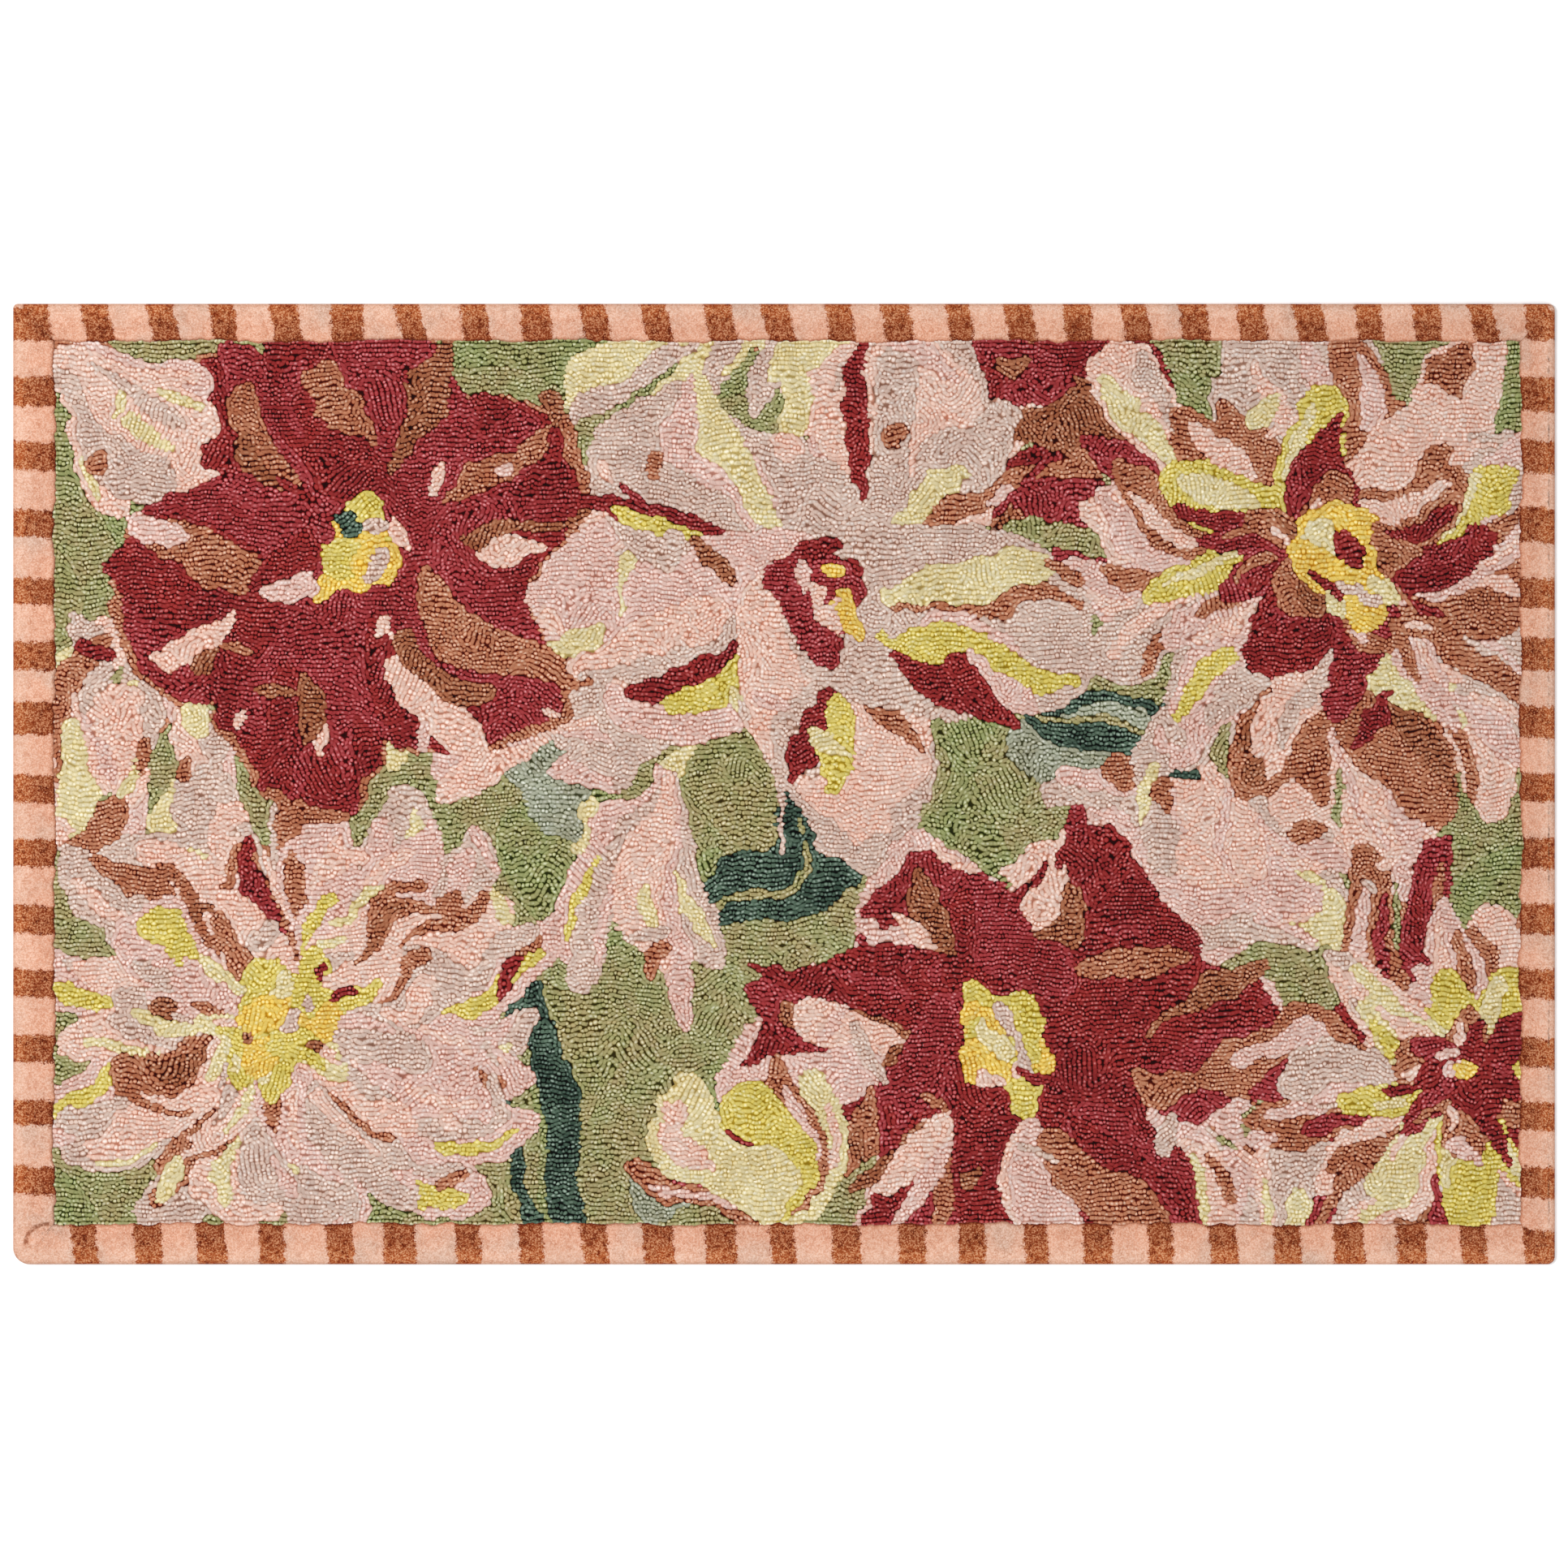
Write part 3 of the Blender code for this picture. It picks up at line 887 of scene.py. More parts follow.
def side_line(side, count):
    """Points along one side, evenly spaced on the rim from the middle of one corner to the other.

    Each has its place on the seam and on the rim. Well away from the corners they face each
    other. Near one, the seam's point lags behind the rim's, so that they fan out round it.
    """
    long_side = side in ("front", "back")
    axis = 0 if long_side else 1
    next_to = ("left", "right") if long_side else ("front", "back")
    corners = [f"{side}_{other}" if long_side else f"{other}_{side}" for other in next_to]
    low, high = RIM_LOW[axis], RIM_HIGH[axis]
    at = np.linspace(low, high, count)

    def seam_place(from_corner, border):
        """How far from the field's corner the seam's point is, for a point of the rim."""
        reach = border + CORNER_FAN
        fanned = CORNER_FAN * (from_corner / reach) ** (reach / CORNER_FAN)
        return np.where(from_corner < reach, fanned, from_corner - border)

    from_low = seam_place(at - low, BORDER[next_to[0]])
    from_high = seam_place(high - at, BORDER[next_to[1]])
    blend = rise(0.4, 0.6, (at - low) / (high - low))
    length = FIELD_SIZE[axis]
    seam_at = (1 - blend) * from_low + blend * (length - from_high)
    share = seam_at / length
    out = -1 if side in ("front", "left") else 1
    seam_edge = (FIELD_LOW if out < 0 else FIELD_HIGH)[1 - axis] + out * seam_offset(side, share)
    rim_edge = (RIM_LOW if out < 0 else RIM_HIGH)[1 - axis]

    # The rim rounds the corner: the last bit of each side turns by an eighth of a circle
    rim_along, rim_out = at.copy(), np.zeros(count)
    for corner, start, sign in ((corners[0], low, 1), (corners[1], high, -1)):
        radius, near = CORNER_RADIUS[corner], sign * (at - start)
        turn = np.clip(near / radius, 0, 1) * math.pi / 4 + math.pi / 4
        on_arc = near < radius
        place = radius - radius * np.cos(turn)
        rim_along = np.where(on_arc, start + sign * place, rim_along)
        rim_out = np.where(on_arc, radius - radius * np.sin(turn), rim_out)
    seam = np.stack([FIELD_LOW[axis] + seam_at, seam_edge], axis=-1)
    rim = np.stack([rim_along, rim_edge - out * rim_out], axis=-1)
    if not long_side:
        seam, rim = seam[:, ::-1], rim[:, ::-1]
    return seam, rim


def block_distance(side, along, share, draws):
    """How far inside a rust block a point lies, or how far outside one as a number below zero."""
    blocks = BLOCKS[side]
    number = np.arange(blocks["count"])
    middle = blocks["first"] + blocks["pitch"] * number
    middle += blocks["drift"] * np.sin(math.pi * number / (blocks["count"] - 1))
    middle += draws.normal(0, 0.0025, len(number))
    width = blocks["width"] + draws.normal(0, 0.003, len(number))
    lean = blocks["lean"] * draws.uniform(0.2, 1.6, len(number))
    place = middle + lean * (share[..., None] - 0.5)
    return (width / 2 - np.abs(along[..., None] - place)).max(-1)


def border_lines(look):
    """The band's section from the seam over the top to the rim and down to the floor.

    Each line has its share of the way from seam to rim, its distance on from there, and its height.
    """
    seam = [
        (0.0, -0.0006, 0.0050),
        (0.0, -0.0012, 0.0088),
        (0.0, 0.0002, 0.0108),
        (0.0, 0.0026, 0.0121),
    ]
    top = [(share, 0.0, look.top) for share in np.linspace(0.10, 0.78, 17)]
    rim = [
        (1.0, -0.0115, 0.0123),
        (1.0, -0.0085, 0.0117),
        (1.0, -0.0057, 0.0108),
        (1.0, -0.0033, 0.0095),
        (1.0, -0.0015, 0.0079),
        (1.0, -0.0004, 0.0060),
        (1.0, 0.0, 0.0041),
        (1.0, -0.0008, 0.0020),
        (1.0, -0.0030, 0.0004),
    ]
    return np.array(seam + top + rim)


def build_border(look):
    """The cut-pile band: its section carried round the field and closed on itself.

    Its top is lifted by smooth waves and, tuft by tuft, by small random amounts.
    """
    draws = np.random.default_rng(look.seed)
    section = border_lines(look)
    part, step, level = section.T
    outward = part + step / USUAL_WIDTH
    at_seam = part < SEAM_SHARE
    seams, rims, insides = [], [], []
    for side in ("front", "right", "back", "left"):
        axis = 0 if side in ("front", "back") else 1
        count = round((RIM_HIGH - RIM_LOW)[axis] / TUFT)
        seam, rim = side_line(side, count)
        along = seam[:, axis, None] + outward * (rim - seam)[:, axis, None]
        inside = block_distance(side, along, np.clip(outward, 0, 1) + 0 * along, draws)
        turned = side in ("back", "left")
        for store, values in ((seams, seam), (rims, rim), (insides, inside)):
            store.append(values[::-1][:-1] if turned else values[:-1])
    seam, rim, inside = np.concatenate(seams), np.concatenate(rims), np.concatenate(insides)
    across = ((rim - seam) / np.linalg.norm(rim - seam, axis=1, keepdims=True))[:, None]
    flat = seam[:, None] + part[:, None] * (rim - seam)[:, None] + step[:, None] * across
    # The pile bulges over the field's edge, here more and there less
    line_x, line_y = seam.T
    bulge = 0.0012 + 0.0008 * waves(line_x, line_y, draws, 0.06)
    bulge += 0.0010 * waves(line_x, line_y, draws, 0.022)
    bulge += np.clip(draws.normal(0, 0.0006, len(bulge)), -0.0011, 0.0011)
    flat -= (bulge[:, None] * rise(0.012, 0.0, step) * at_seam)[..., None] * across
    on_top = rise(0.0078, 0.0120, level)
    x, y = flat[..., 0], flat[..., 1]
    z = np.broadcast_to(level, x.shape).copy()
    z += on_top * look.lump * (0.9 * waves(x, y, draws, 0.11) + 0.5 * waves(x, y, draws, 0.03))
    z += on_top * np.clip(draws.normal(0, 0.00042, x.shape), -0.0010, 0.0008)
    inner = (part > SEAM_SHARE) & (part < 1.0)
    x[:, inner] += draws.normal(0, 0.0005, x[:, inner].shape)
    y[:, inner] += draws.normal(0, 0.0005, y[:, inner].shape)
    points = np.stack([x, y, z], axis=-1)

    rows, columns = x.shape
    faces = grid_faces(rows, columns, closed=True)[:, ::-1]
    # rim and seam mark where the shader paints shade: down the rim's side and along the seam
    by_line = {
        "outward": np.clip(outward, 0, 1),
        "rim": np.clip((0.0118 - level) / 0.008, 0, 1) * (part > 0.5),
        "seam": at_seam * rise(0.0127, 0.0100, level),
    }
    values = {label: np.broadcast_to(line, x.shape).ravel() for label, line in by_line.items()}
    values["rust"] = inside.ravel()
    finish = pile_material("cut_pile_band", look)
    return add_mesh("border_pile", points.reshape(-1, 3), faces, finish, values=values)


# The ground cloth


def build_cloth(look):
    """A thin closed slab with rounded corners: two even grids, joined round their edges."""
    columns, rows = 49, 31
    u, v = np.meshgrid(np.linspace(-1, 1, columns), np.linspace(-1, 1, rows))
    half = (RIM_HIGH[:2] - RIM_LOW[:2]) / 2 - look.inset
    # Corners are drawn in so that none reaches past the pile's rounded corners
    pull = 0.006 * np.abs(u * v) ** 24
    x, y = u * (half[0] - pull), v * (half[1] - pull)
    under = np.stack([x, y, np.zeros_like(x)], axis=-1).reshape(-1, 3)
    over = under + (0, 0, look.thickness)
    flat = grid_faces(rows, columns)
    count = rows * columns
    index = np.arange(count).reshape(rows, columns)
    ring = np.concatenate([index[0, :-1], index[:-1, -1], index[-1, :0:-1], index[:0:-1, 0]])
    after = np.roll(ring, -1)
    wall = np.stack([ring, after, after + count, ring + count], axis=-1)
    faces = np.concatenate([flat[:, ::-1], flat + count, wall])
    return add_mesh("ground_cloth", np.concatenate([under, over]), faces, cloth_material(look))


# Shaders

# The light on a loop's crest is longer than wide: its width over its length
CREST_SHAPE = 0.5477

# The distance between two threads of the ground cloth
THREAD = 0.0014


class Graph:
    """Adds nodes to a shader tree. A value is a number, a colour or another node's socket."""

    def __init__(self, tree):
        self.tree = tree

    def node(self, kind, **options):
        """A new node with its options set."""
        made = self.tree.nodes.new(kind)
        for name, value in options.items():
            setattr(made, name, value)
        return made

    def feed(self, socket, value):
        """Links another socket to this one, or sets it to a plain value."""
        if isinstance(value, bpy.types.NodeSocket):
            self.tree.links.new(value, socket)
        elif value is not None:
            socket.default_value = value

    def maths(self, operation, *values, clamp=False):
        """What one operation makes of its numbers."""
        made = self.node("ShaderNodeMath", operation=operation, use_clamp=clamp)
        for socket, value in zip(made.inputs, values):
            self.feed(socket, value)
        return made.outputs[0]

    def plus(self, *values):
        """The sum of all values."""
        return functools.reduce(lambda first, second: self.maths("ADD", first, second), values)

    def times(self, *values):
        """The product of all values."""
        return functools.reduce(lambda first, second: self.maths("MULTIPLY", first, second), values)

    def minus(self, value, taken):
        """The first value less the second."""
        return self.maths("SUBTRACT", value, taken)

    def distance(self, first, second):
        """The root of the sum of two squares."""
        return self.maths("SQRT", self.plus(self.times(first, first), self.times(second, second)))

    def blend(self, share, first, second, mode="MIX"):
        """Two colours mixed, by the share of the second."""
        made = self.node("ShaderNodeMix", data_type="RGBA", blend_type=mode)
        for index, value in ((0, share), (6, first), (7, second)):
            self.feed(made.inputs[index], value)
        return made.outputs[2]

    def shaded(self, colour, shade):
        """A colour times a number."""
        grey = self.node("ShaderNodeCombineXYZ")
        for socket in grey.inputs:
            self.feed(socket, shade)
        return self.blend(1.0, colour, grey.outputs[0], "MULTIPLY")

    def deepened(self, colour, power):
        """A colour raised to a power: over 1 it gets darker and stronger, under 1 lighter and weaker."""
        made = self.node("ShaderNodeGamma")
        self.feed(made.inputs[0], colour)
        self.feed(made.inputs[1], power)
        return made.outputs[0]

    def rise(self, value, low, high, to_low=0.0, to_high=1.0):
        """A smooth step from one number to another, while the value goes from low to high."""
        made = self.node("ShaderNodeMapRange", interpolation_type="SMOOTHSTEP")
        for index, given in enumerate((value, low, high, to_low, to_high)):
            self.feed(made.inputs[index], given)
        return made.outputs[0]

    def place(self):
        """The place on the object, in metres."""
        return self.node("ShaderNodeTexCoord").outputs["Object"]

    def parts(self, vector):
        """The three numbers of a vector."""
        made = self.node("ShaderNodeSeparateXYZ")
        self.feed(made.inputs[0], vector)
        return made.outputs

    def attribute(self, name):
        """A number that the mesh holds for each point."""
        return self.node("ShaderNodeAttribute", attribute_name=name).outputs["Fac"]

    def noise(self, place, scale, detail=2.0, roughness=0.5, output="Fac"):
        """Soft noise of 0 to 1, with about as many bumps a metre as its scale says."""
        made = self.node("ShaderNodeTexNoise")
        self.feed(made.inputs["Vector"], place)
        made.inputs["Scale"].default_value = scale
        made.inputs["Detail"].default_value = detail
        made.inputs["Roughness"].default_value = roughness
        return made.outputs[output]

    def group(self, tree, **values):
        """A group's outputs, with its inputs set. An underscore in a name stands for a space."""
        made = self.node("ShaderNodeGroup", node_tree=tree)
        for name, value in values.items():
            made.inputs[name.replace("_", " ")].default_value = value
        return made.outputs


def new_group(name, inputs, outputs):
    """An empty shader group with named sockets, and its graph, inputs and outputs."""
    tree = bpy.data.node_groups.new(name, "ShaderNodeTree")
    for label, kind in inputs.items():
        tree.interface.new_socket(name=label, in_out="INPUT", socket_type=kind)
    for label, kind in outputs.items():
        tree.interface.new_socket(name=label, in_out="OUTPUT", socket_type=kind)
    graph = Graph(tree)
    return graph, graph.node("NodeGroupInput").outputs, graph.node("NodeGroupOutput").inputs


COLOUR, NUMBER = "NodeSocketColor", "NodeSocketFloat"


def fibre_group():
    """Fine wool fibre: a fleck of tone and a little relief at well under a millimetre."""
    if "Wool fibre" in bpy.data.node_groups:
        return bpy.data.node_groups["Wool fibre"]
    graph, given, out = new_group("Wool fibre", {"Strength": NUMBER}, {"Tone": NUMBER, "Height": NUMBER})
    place = graph.place()
    squeezed = graph.node("ShaderNodeMapping")
    graph.feed(squeezed.inputs["Vector"], place)
    squeezed.inputs["Scale"].default_value = (1.0, 2.6, 1.0)
    strands = graph.noise(squeezed.outputs[0], 420.0, 2.0, 0.6)
    fine = graph.noise(place, 900.0, 3.0, 0.6)
    mixed = graph.plus(graph.times(fine, 0.5), graph.times(strands, 0.5))
    graph.feed(out["Tone"], graph.plus(graph.times(graph.minus(mixed, 0.5), given["Strength"]), 1.0))
    graph.feed(out["Height"], mixed)
    return graph.tree


def loop_group():
    """Hooked loops: each loop's own tone, painted shade in the creases about it, a painted highlight on its
    crest, and the lay of its plies.

    The map gives each loop and each row a cell, with the loop's own place about its middle,
    where one half stands for half a pitch.
    """
    if "Hooked loops" in bpy.data.node_groups:
        return bpy.data.node_groups["Hooked loops"]
    inputs = {"Yarn": COLOUR, "Fleck": COLOUR, "Fleck Share": NUMBER, "Crease": NUMBER}
    outputs = {"Color": COLOUR, "Roughness": NUMBER, "Height": NUMBER}
    graph, given, out = new_group("Hooked loops", inputs, outputs)
    mapped = graph.parts(graph.node("ShaderNodeUVMap", uv_map="loops").outputs[0])

    def number_and_place(value):
        """The number of the cell, and how far from its middle the place is in half pitches."""
        number = graph.maths("FLOOR", graph.times(value, 1 / MAP_CELL))
        inside = graph.minus(graph.minus(value, graph.times(number, MAP_CELL)), MAP_CELL / 2)
        return number, graph.times(inside, 2.0)

    number, along = number_and_place(mapped[0])
    row, across = number_and_place(mapped[1])

    # Four numbers that each loop has for itself
    cell = graph.node("ShaderNodeCombineXYZ")
    graph.feed(cell.inputs[0], number)
    graph.feed(cell.inputs[1], row)
    white = graph.node("ShaderNodeTexWhiteNoise", noise_dimensions="2D")
    graph.feed(white.inputs["Vector"], cell.outputs[0])
    others = graph.node("ShaderNodeSeparateColor")
    graph.feed(others.inputs[0], white.outputs["Color"])
    own = white.outputs["Value"]
    own_length, own_fleck, own_light = others.outputs

    # How far off the loop's middle line a place is. Some loops run into the next one
    off = graph.distance(graph.times(along, graph.rise(own_length, 0.2, 1.0, 0.18, 0.76)), across)

    # Plies cross the loop at a slant, and start at another place in each
    slant = graph.plus(graph.times(along, 1.1), graph.times(across, 0.65), own)
    ply = graph.maths("ABSOLUTE", graph.maths("SINE", graph.times(slant, math.pi)))
    groove = graph.rise(ply, 0.0, 0.55)

    # Patches a hand across, where more of the fleck is spun in
    patch = graph.rise(graph.noise(graph.place(), 14.0, 4.0, 0.6), 0.38, 0.62)
    mixed = graph.plus(graph.times(patch, 0.8), graph.times(own_fleck, 0.45))
    share = graph.maths("MULTIPLY", mixed, given["Fleck Share"], clamp=True)
    colour = graph.blend(share, given["Yarn"], given["Fleck"])

    # In a crease the colour is deepened: painted shade, fainter in yarn that light passes through. On a
    # crest
    # the colour is lifted: a painted highlight where the fibres catch the light, shown on the dark yarns
    # most
    crease = graph.maths("MULTIPLY", graph.rise(off, 0.55, 1.04), given["Crease"], clamp=True)
    from_middle = graph.distance(graph.times(along, CREST_SHAPE), across)
    crest = graph.rise(from_middle, 0.0, 0.72, 1.0, 0.0)
    crest = graph.times(crest, graph.rise(own_light, 0.1, 1.0, 0.05, 0.68))
    deep = graph.deepened(colour, graph.minus(graph.plus(graph.times(crease, 2.5), 1.0), crest))

    fibre = graph.group(fibre_group(), Strength=0.30)
    # The tone: each loop's own at random and the fibre's, painted shade in the ply grooves, a painted
    # highlight on the loop's top and painted shade in its crease
    tone = graph.times(
        graph.rise(own, 0.0, 1.0, 0.69, 0.88),
        fibre["Tone"],
        graph.rise(groove, 0.0, 1.0, 0.90, 1.0),
        graph.rise(off, 0.1, 0.8, 1.06, 0.97),
        graph.rise(crease, 0.0, 1.0, 1.0, 0.68),
    )
    graph.feed(out["Color"], graph.shaded(deep, tone))
    graph.feed(out["Roughness"], graph.rise(fibre["Height"], 0.3, 0.7, 0.96, 0.80))

    dome = graph.minus(1.0, graph.times(graph.maths("POWER", off, 2.0), 0.6))
    height = graph.plus(dome, graph.times(groove, 0.22), graph.times(fibre["Height"], 0.30))
    graph.feed(out["Height"], height)
    return graph.tree


def new_material(name):
    """A material with a matt wool shader, and its graph and shader."""
    finish = bpy.data.materials.new(name)
    finish.use_nodes = True
    shader = finish.node_tree.nodes["Principled BSDF"]
    shader.inputs["Specular IOR Level"].default_value = 0.10
    return finish, Graph(finish.node_tree), shader


def finish_wool(graph, shader, colour, roughness, sheen, relief):
    """Feeds the shader's colour and roughness, and sets its sheen and its relief.

    sheen is its weight and roughness, and relief the bump's height, strength and distance.
    """
    graph.feed(shader.inputs["Base Color"], colour)
    graph.feed(shader.inputs["Roughness"], roughness)
    shader.inputs["Sheen Weight"].default_value, shader.inputs["Sheen Roughness"].default_value = sheen
    bump = graph.node("ShaderNodeBump")
    height, bump.inputs["Strength"].default_value, bump.inputs["Distance"].default_value = relief
    graph.feed(bump.inputs["Height"], height)
    graph.feed(shader.inputs["Normal"], bump.outputs[0])


def yarn_material(name, colour, fleck, crease):
    """One yarn of the field, by its name, its two colours and how dark the painted shade in its creases is.
    """
    finish, graph, shader = new_material(f"yarn_{name}")
    colours = {"Yarn": (*colour, 1.0), "Fleck": (*fleck, 1.0)}
    loops = graph.group(loop_group(), **colours, Fleck_Share=0.8, Crease=crease)
    relief = (loops["Height"], 0.7, 0.0012)
    finish_wool(graph, shader, loops["Color"], loops["Roughness"], (0.04, 0.5), relief)
    return finish


def corner_parting(graph, place, push):
    """The line where the pile of one corner parts: an arc from the rim to the field's corner."""
    from_middle = graph.node("ShaderNodeVectorMath", operation="SUBTRACT")
    graph.feed(from_middle.inputs[0], place)
    from_middle.inputs[1].default_value = CORNER_ARC[:3]
    x, y, _ = graph.parts(from_middle.outputs[0])
    radius = graph.plus(graph.distance(x, y), graph.times(push, 0.3))
    off_arc = graph.maths("ABSOLUTE", graph.minus(radius, CORNER_ARC[3]))
    return graph.times(
        graph.rise(off_arc, 0.0004, 0.0052, 1.0, 0.0),
        graph.rise(graph.noise(place, 150.0, 2.0), 0.35, 0.55, 0.35, 1.0),
        graph.rise(y, -0.006, 0.002),
        graph.rise(x, 0.004, 0.012, 1.0, 0.0),
    )


def pile_material(name, look):
    """Sheared wool: blocks with fuzzy edges, painted shade in short squiggles between tufts and down the
    rim, and a warmer rim painted paler as a highlight.
    """
    finish, graph, shader = new_material(name)
    place = graph.place()
    rust, outward, rim, seam = (graph.attribute(label) for label in ("rust", "outward", "rim", "seam"))

    # The edge of a block is pushed about by a coarse and a fine noise
    push = graph.times(graph.minus(graph.noise(place, 95.0, 2.0), 0.5), 0.015)
    fuzz = graph.times(graph.minus(graph.noise(place, 420.0, 3.0, 0.6), 0.5), 0.017)
    share = graph.rise(graph.plus(rust, push, fuzz), -0.0013, 0.0013)
    # Towards the rim the colours turn paler: a painted highlight on the rounded rim
    rim_highlight_share = graph.rise(graph.plus(outward, graph.times(push, 25.0)), 0.25, 1.0)
    peach = graph.blend(rim_highlight_share, (*look.peach, 1.0), (*look.peach_rim_highlight, 1.0))
    greyer = graph.rise(graph.noise(place, 9.0, 3.0, 0.6), 0.50, 0.72, 0.0, 0.75)
    peach = graph.blend(greyer, peach, (*look.tan, 1.0))
    rusty = graph.blend(rim_highlight_share, (*look.rust, 1.0), (*look.rust_rim_highlight, 1.0))
    colour = graph.blend(share, peach, rusty)

    # Squiggles: the borders between bent cells of tuft size, kept only in places. They sink the bump and
    # are darkened as painted shade between tufts
    moved = graph.node("ShaderNodeVectorMath", operation="MULTIPLY_ADD")
    graph.feed(moved.inputs[0], graph.noise(place, 260.0, output="Color"))
    moved.inputs[1].default_value = (0.004, 0.004, 0.004)
    graph.feed(moved.inputs[2], place)
    cells = graph.node("ShaderNodeTexVoronoi", feature="DISTANCE_TO_EDGE")
    graph.feed(cells.inputs["Vector"], moved.outputs[0])
    cells.inputs["Scale"].default_value = 250.0
    squiggle = graph.times(
        graph.rise(cells.outputs["Distance"], 0.02, 0.20, 1.0, 0.0),
        graph.rise(graph.noise(place, 120.0, 2.0), 0.48, 0.66),
        graph.rise(share, 0.0, 1.0, 0.25, 0.6),
    )

    # Painted shade darkens the pile in its gaps, along the seam, in the corner's parting and down the rim.
    # Tuft by tuft the pile deepens or lightens at random, the rust more than the peach
    parting = corner_parting(graph, place, push)
    tufted = graph.rise(graph.noise(moved.outputs[0], 380.0, 2.0, 0.6), 0.38, 0.62, -1.0, 1.0)
    tufted = graph.times(tufted, graph.rise(share, 0.0, 1.0, 0.20, 0.40))
    gap = graph.maths("MAXIMUM", squiggle, graph.times(seam, 0.45))
    gap = graph.maths("MAXIMUM", gap, graph.times(parting, 0.9))
    power = graph.plus(graph.times(gap, 1.1), 1.0, graph.times(rim, 0.55))
    deep = graph.deepened(colour, graph.minus(power, tufted))

    fibre = graph.group(fibre_group(), Strength=0.26)
    patch = graph.rise(graph.noise(place, 22.0, 3.0), 0.3, 0.7, 0.96, 1.04)
    tone = graph.times(fibre["Tone"], patch, graph.rise(gap, 0.0, 1.0, 1.0, 0.72))
    height = graph.minus(graph.noise(place, 300.0, 2.0, 0.55), graph.times(squiggle, 0.5))
    height = graph.minus(height, graph.times(parting, 1.2))
    relief = (graph.plus(height, graph.times(fibre["Height"], 0.35)), 0.8, 0.0022)
    roughness = graph.rise(fibre["Height"], 0.3, 0.7, 1.0, 0.88)
    finish_wool(graph, shader, graph.shaded(deep, tone), roughness, (0.06, 0.45), relief)
    return finish


def cloth_material(look):
    """Plain unbleached weave: warp and weft pass over and under each other, a thread apart."""
    finish, graph, shader = new_material("ground_cloth")
    x, y, _ = graph.parts(graph.place())
    turns = math.pi / THREAD
    weave = graph.times(*(graph.maths("SINE", graph.times(value, turns)) for value in (x, y)))
    fibre = graph.group(fibre_group(), Strength=0.4)
    # Darker where the weave lies low: painted shade
    tone = graph.times(fibre["Tone"], graph.rise(weave, -1.0, 1.0, 0.86, 1.04))
    colour = graph.shaded((*look.colour, 1.0), tone)
    relief = (graph.plus(weave, graph.times(fibre["Height"], 0.5)), 0.5, 0.0006)
    roughness = graph.rise(fibre["Height"], 0.3, 0.7, 0.95, 0.82)
    finish_wool(graph, shader, colour, roughness, (0.0, 0.5), relief)
    return finish


# The stage

# The floor reaches far enough that no view over the rug sees its end, and lies a hair under the rug
FLOOR_REACH = 30.0
FLOOR_LEVEL = -0.0003

# The soft lights: name, place, diameter and power. Each faces the middle of the rug
LIGHTS = (
    ("key_light", (-3.0, 1.0, 5.8), 3.0, 325.0),
    ("fill_light", (2.6, -2.4, 4.0), 3.0, 75.0),
)


def make_floor(look):
    """A plain pale square, a shade darker in soft patches."""
    corners = np.array([(-1, -1, 0), (1, -1, 0), (1, 1, 0), (-1, 1, 0)]) * FLOOR_REACH
    corners[:, 2] = FLOOR_LEVEL
    finish, graph, shader = new_material("pale_floor")
    tone = graph.rise(graph.noise(graph.place(), 3.0, 2.0), 0.3, 0.7)
    darker = tuple(0.985 * value for value in look.floor)
    graph.feed(shader.inputs["Base Color"], graph.blend(tone, (*look.floor, 1.0), (*darker, 1.0)))
    shader.inputs["Roughness"].default_value = 0.9
    return add_mesh("floor", corners, np.array([[0, 1, 2, 3]]), finish)


def make_light(name, place, diameter, power):
    """A round soft light that faces the origin."""
    data = bpy.data.lights.new(name, "AREA")
    data.shape = "DISK"
    data.size = diameter
    data.energy = power
    light = bpy.data.objects.new(name, data)
    light.location = place
    x, y, z = place
    light.rotation_euler = (math.atan2(math.hypot(x, y), z), 0.0, math.atan2(-y, -x) - math.pi / 2)
    return light


def make_camera(look):
    """A camera straight over the rug, whose picture is as wide as asked at the top of the field."""
    data = bpy.data.cameras.new("overhead")
    data.sensor_width = 36.0
    data.lens = data.sensor_width * (look.camera_height - FIELD_TOP) / look.view_width
    data.clip_end = 50.0
    camera = bpy.data.objects.new("overhead", data)
    camera.location = (0.0, 0.0, look.camera_height)
    return camera


# Operators


class RUG_OT_loops(bpy.types.Operator):
    """Make the hooked loops of the field, one piece for each yarn"""

    bl_idname = "rug.loops"
    bl_label = "Hook the field"

    def execute(self, context):
        look = settings()
        for piece in build_loops(look.loops, look.yarns):
            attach(piece, BODY)
            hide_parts("rug_field")
        return {"FINISHED"}


class RUG_OT_border(bpy.types.Operator):
    """Make the cut-pile band round the field"""

    bl_idname = "rug.border"
    bl_label = "Make the border"

    def execute(self, context):
        band = build_border(settings().border)
        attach(band, BODY)
        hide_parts("rug_border")
        return {"FINISHED"}


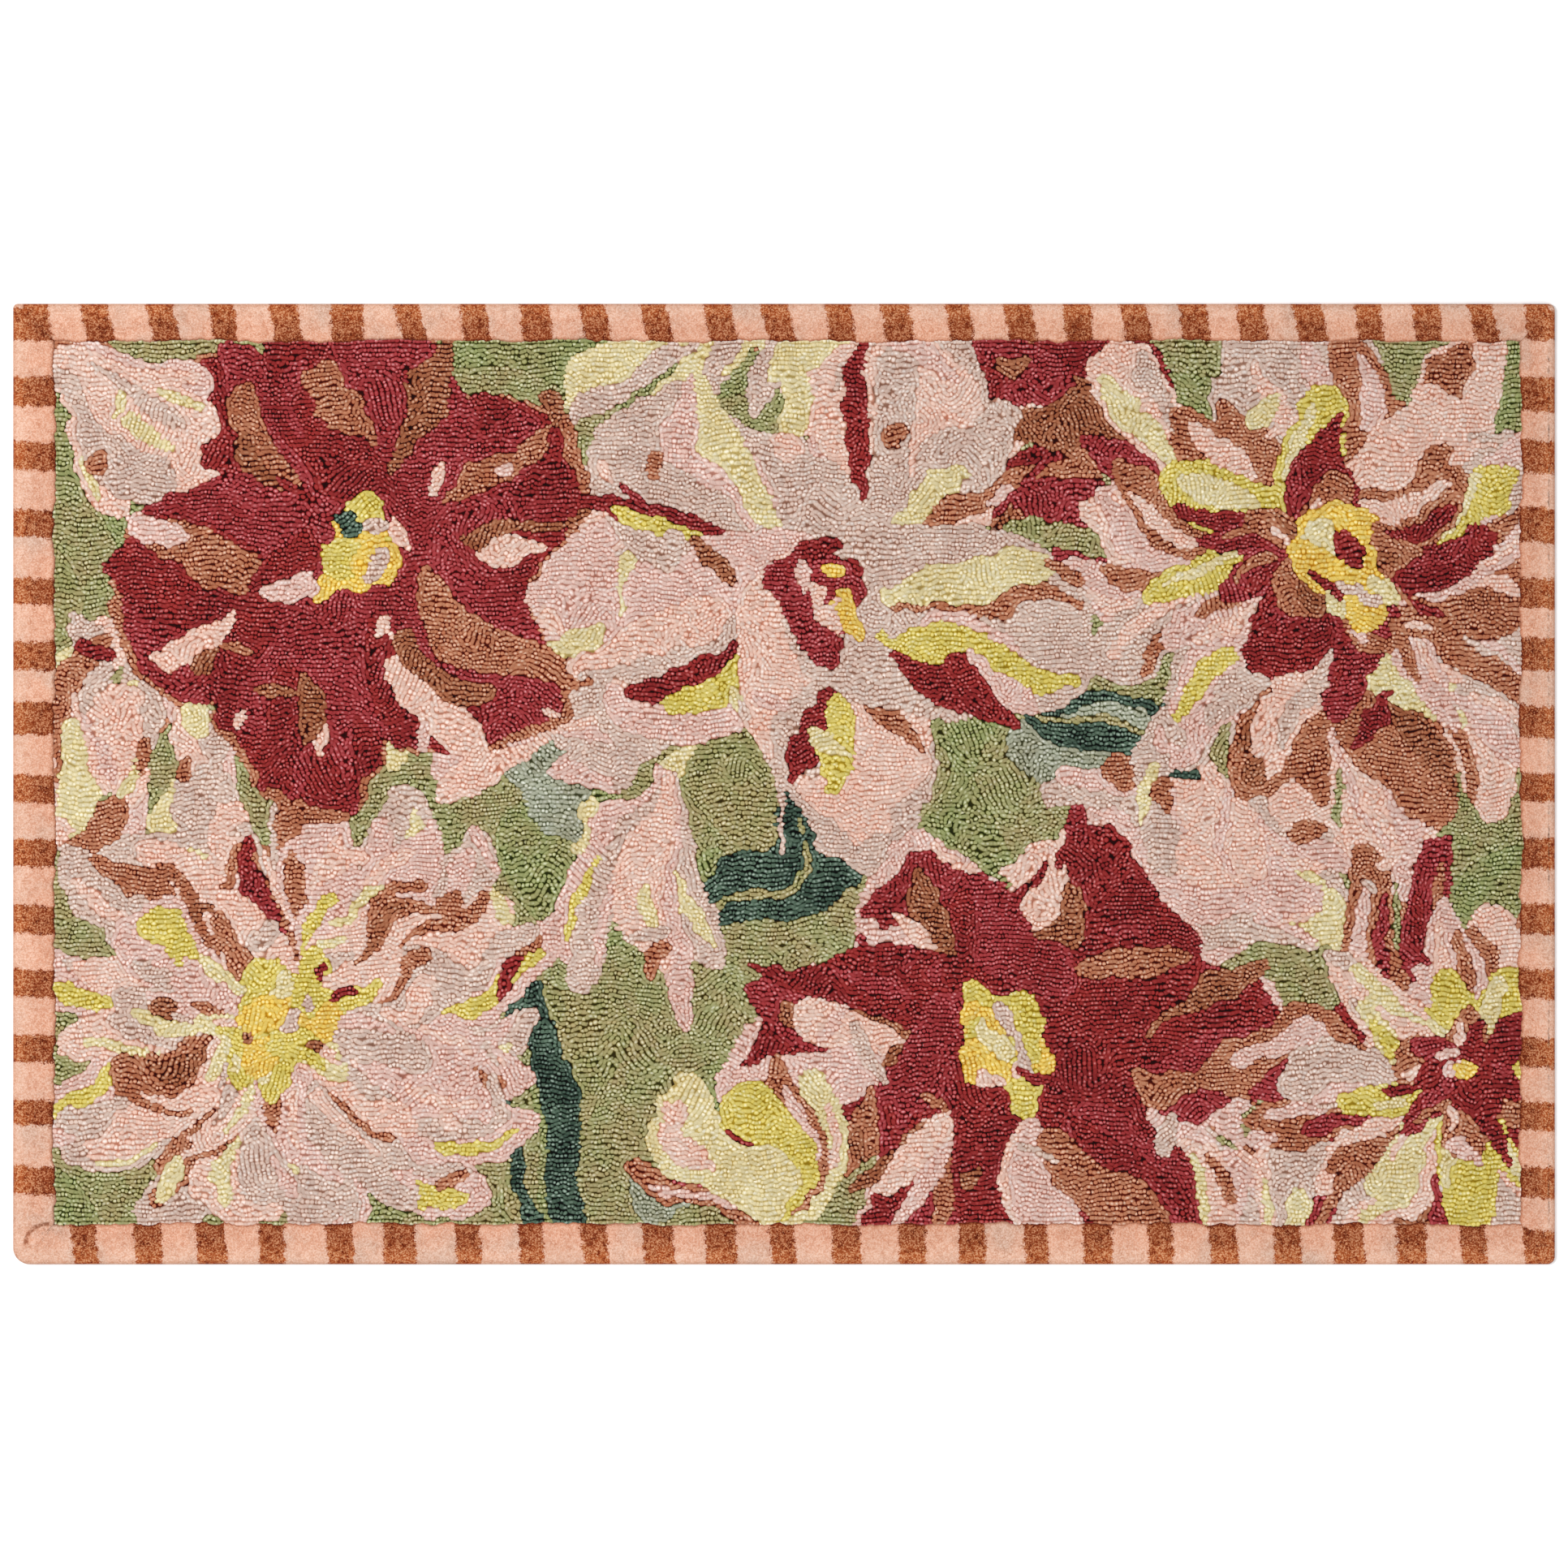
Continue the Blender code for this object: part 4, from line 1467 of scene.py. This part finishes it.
class RUG_OT_cloth(bpy.types.Operator):
    bl_idname = "rug.cloth"
    bl_label = "Lay the ground cloth"

    def execute(self, context):
        pile = [piece for piece in context.scene.objects if piece.name.startswith(("loops_", "border_"))]
        if not pile:
            raise RuntimeError("The field and the border are made before the cloth")
        cloth = build_cloth(settings().cloth)
        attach(cloth, BODY)
        return {"FINISHED"}


class RUG_OT_stage(bpy.types.Operator):
    """Make the floor, the soft lights and the camera"""

    bl_idname = "rug.stage"
    bl_label = "Set the stage"

    def execute(self, context):
        look = settings().stage
        scene = context.scene
        floor = make_floor(look)
        scene.world = bpy.data.worlds.new("soft_white")
        scene.world.use_nodes = True
        sky = scene.world.node_tree.nodes["Background"].inputs
        sky["Color"].default_value = (1.0, 1.0, 1.0, 1.0)
        sky["Strength"].default_value = look.sky
        for light in LIGHTS:
            scene.collection.objects.link(make_light(*light))
        scene.camera = make_camera(look)
        scene.collection.objects.link(scene.camera)
        scene.view_settings.view_transform = "Standard"
        scene.view_settings.look = "None"
        return {"FINISHED"}


class RUG_PT_panel(bpy.types.Panel):
    """The rug's sizes, colours and steps"""

    bl_idname = "RUG_PT_panel"
    bl_label = "Hooked rug"
    bl_space_type = "VIEW_3D"
    bl_region_type = "UI"
    bl_category = "Rug"

    def draw(self, context):
        for label in RugSettings.__annotations__:
            group = getattr(settings(), label)
            box = self.layout.box()
            box.label(text=label.capitalize())
            for name in group.__annotations__:
                box.prop(group, name)
        for step in STEPS:
            self.layout.operator(step.bl_idname)


STEPS = (RUG_OT_loops, RUG_OT_border, RUG_OT_cloth, RUG_OT_stage)
CLASSES = (RugYarns, RugLoops, RugBorder, RugCloth, RugStage, RugSettings, *STEPS, RUG_PT_panel)


def register():
    for kind in CLASSES:
        bpy.utils.register_class(kind)
    bpy.types.Scene.rug_settings = PointerProperty(type=RugSettings)


def unregister():
    del bpy.types.Scene.rug_settings
    for kind in reversed(CLASSES):
        bpy.utils.unregister_class(kind)


def main():
    register()
    bpy.ops.rug.loops()
    bpy.ops.rug.border()
    bpy.ops.rug.cloth()
    bpy.ops.rug.stage()


if __name__ == "__main__":
    main()
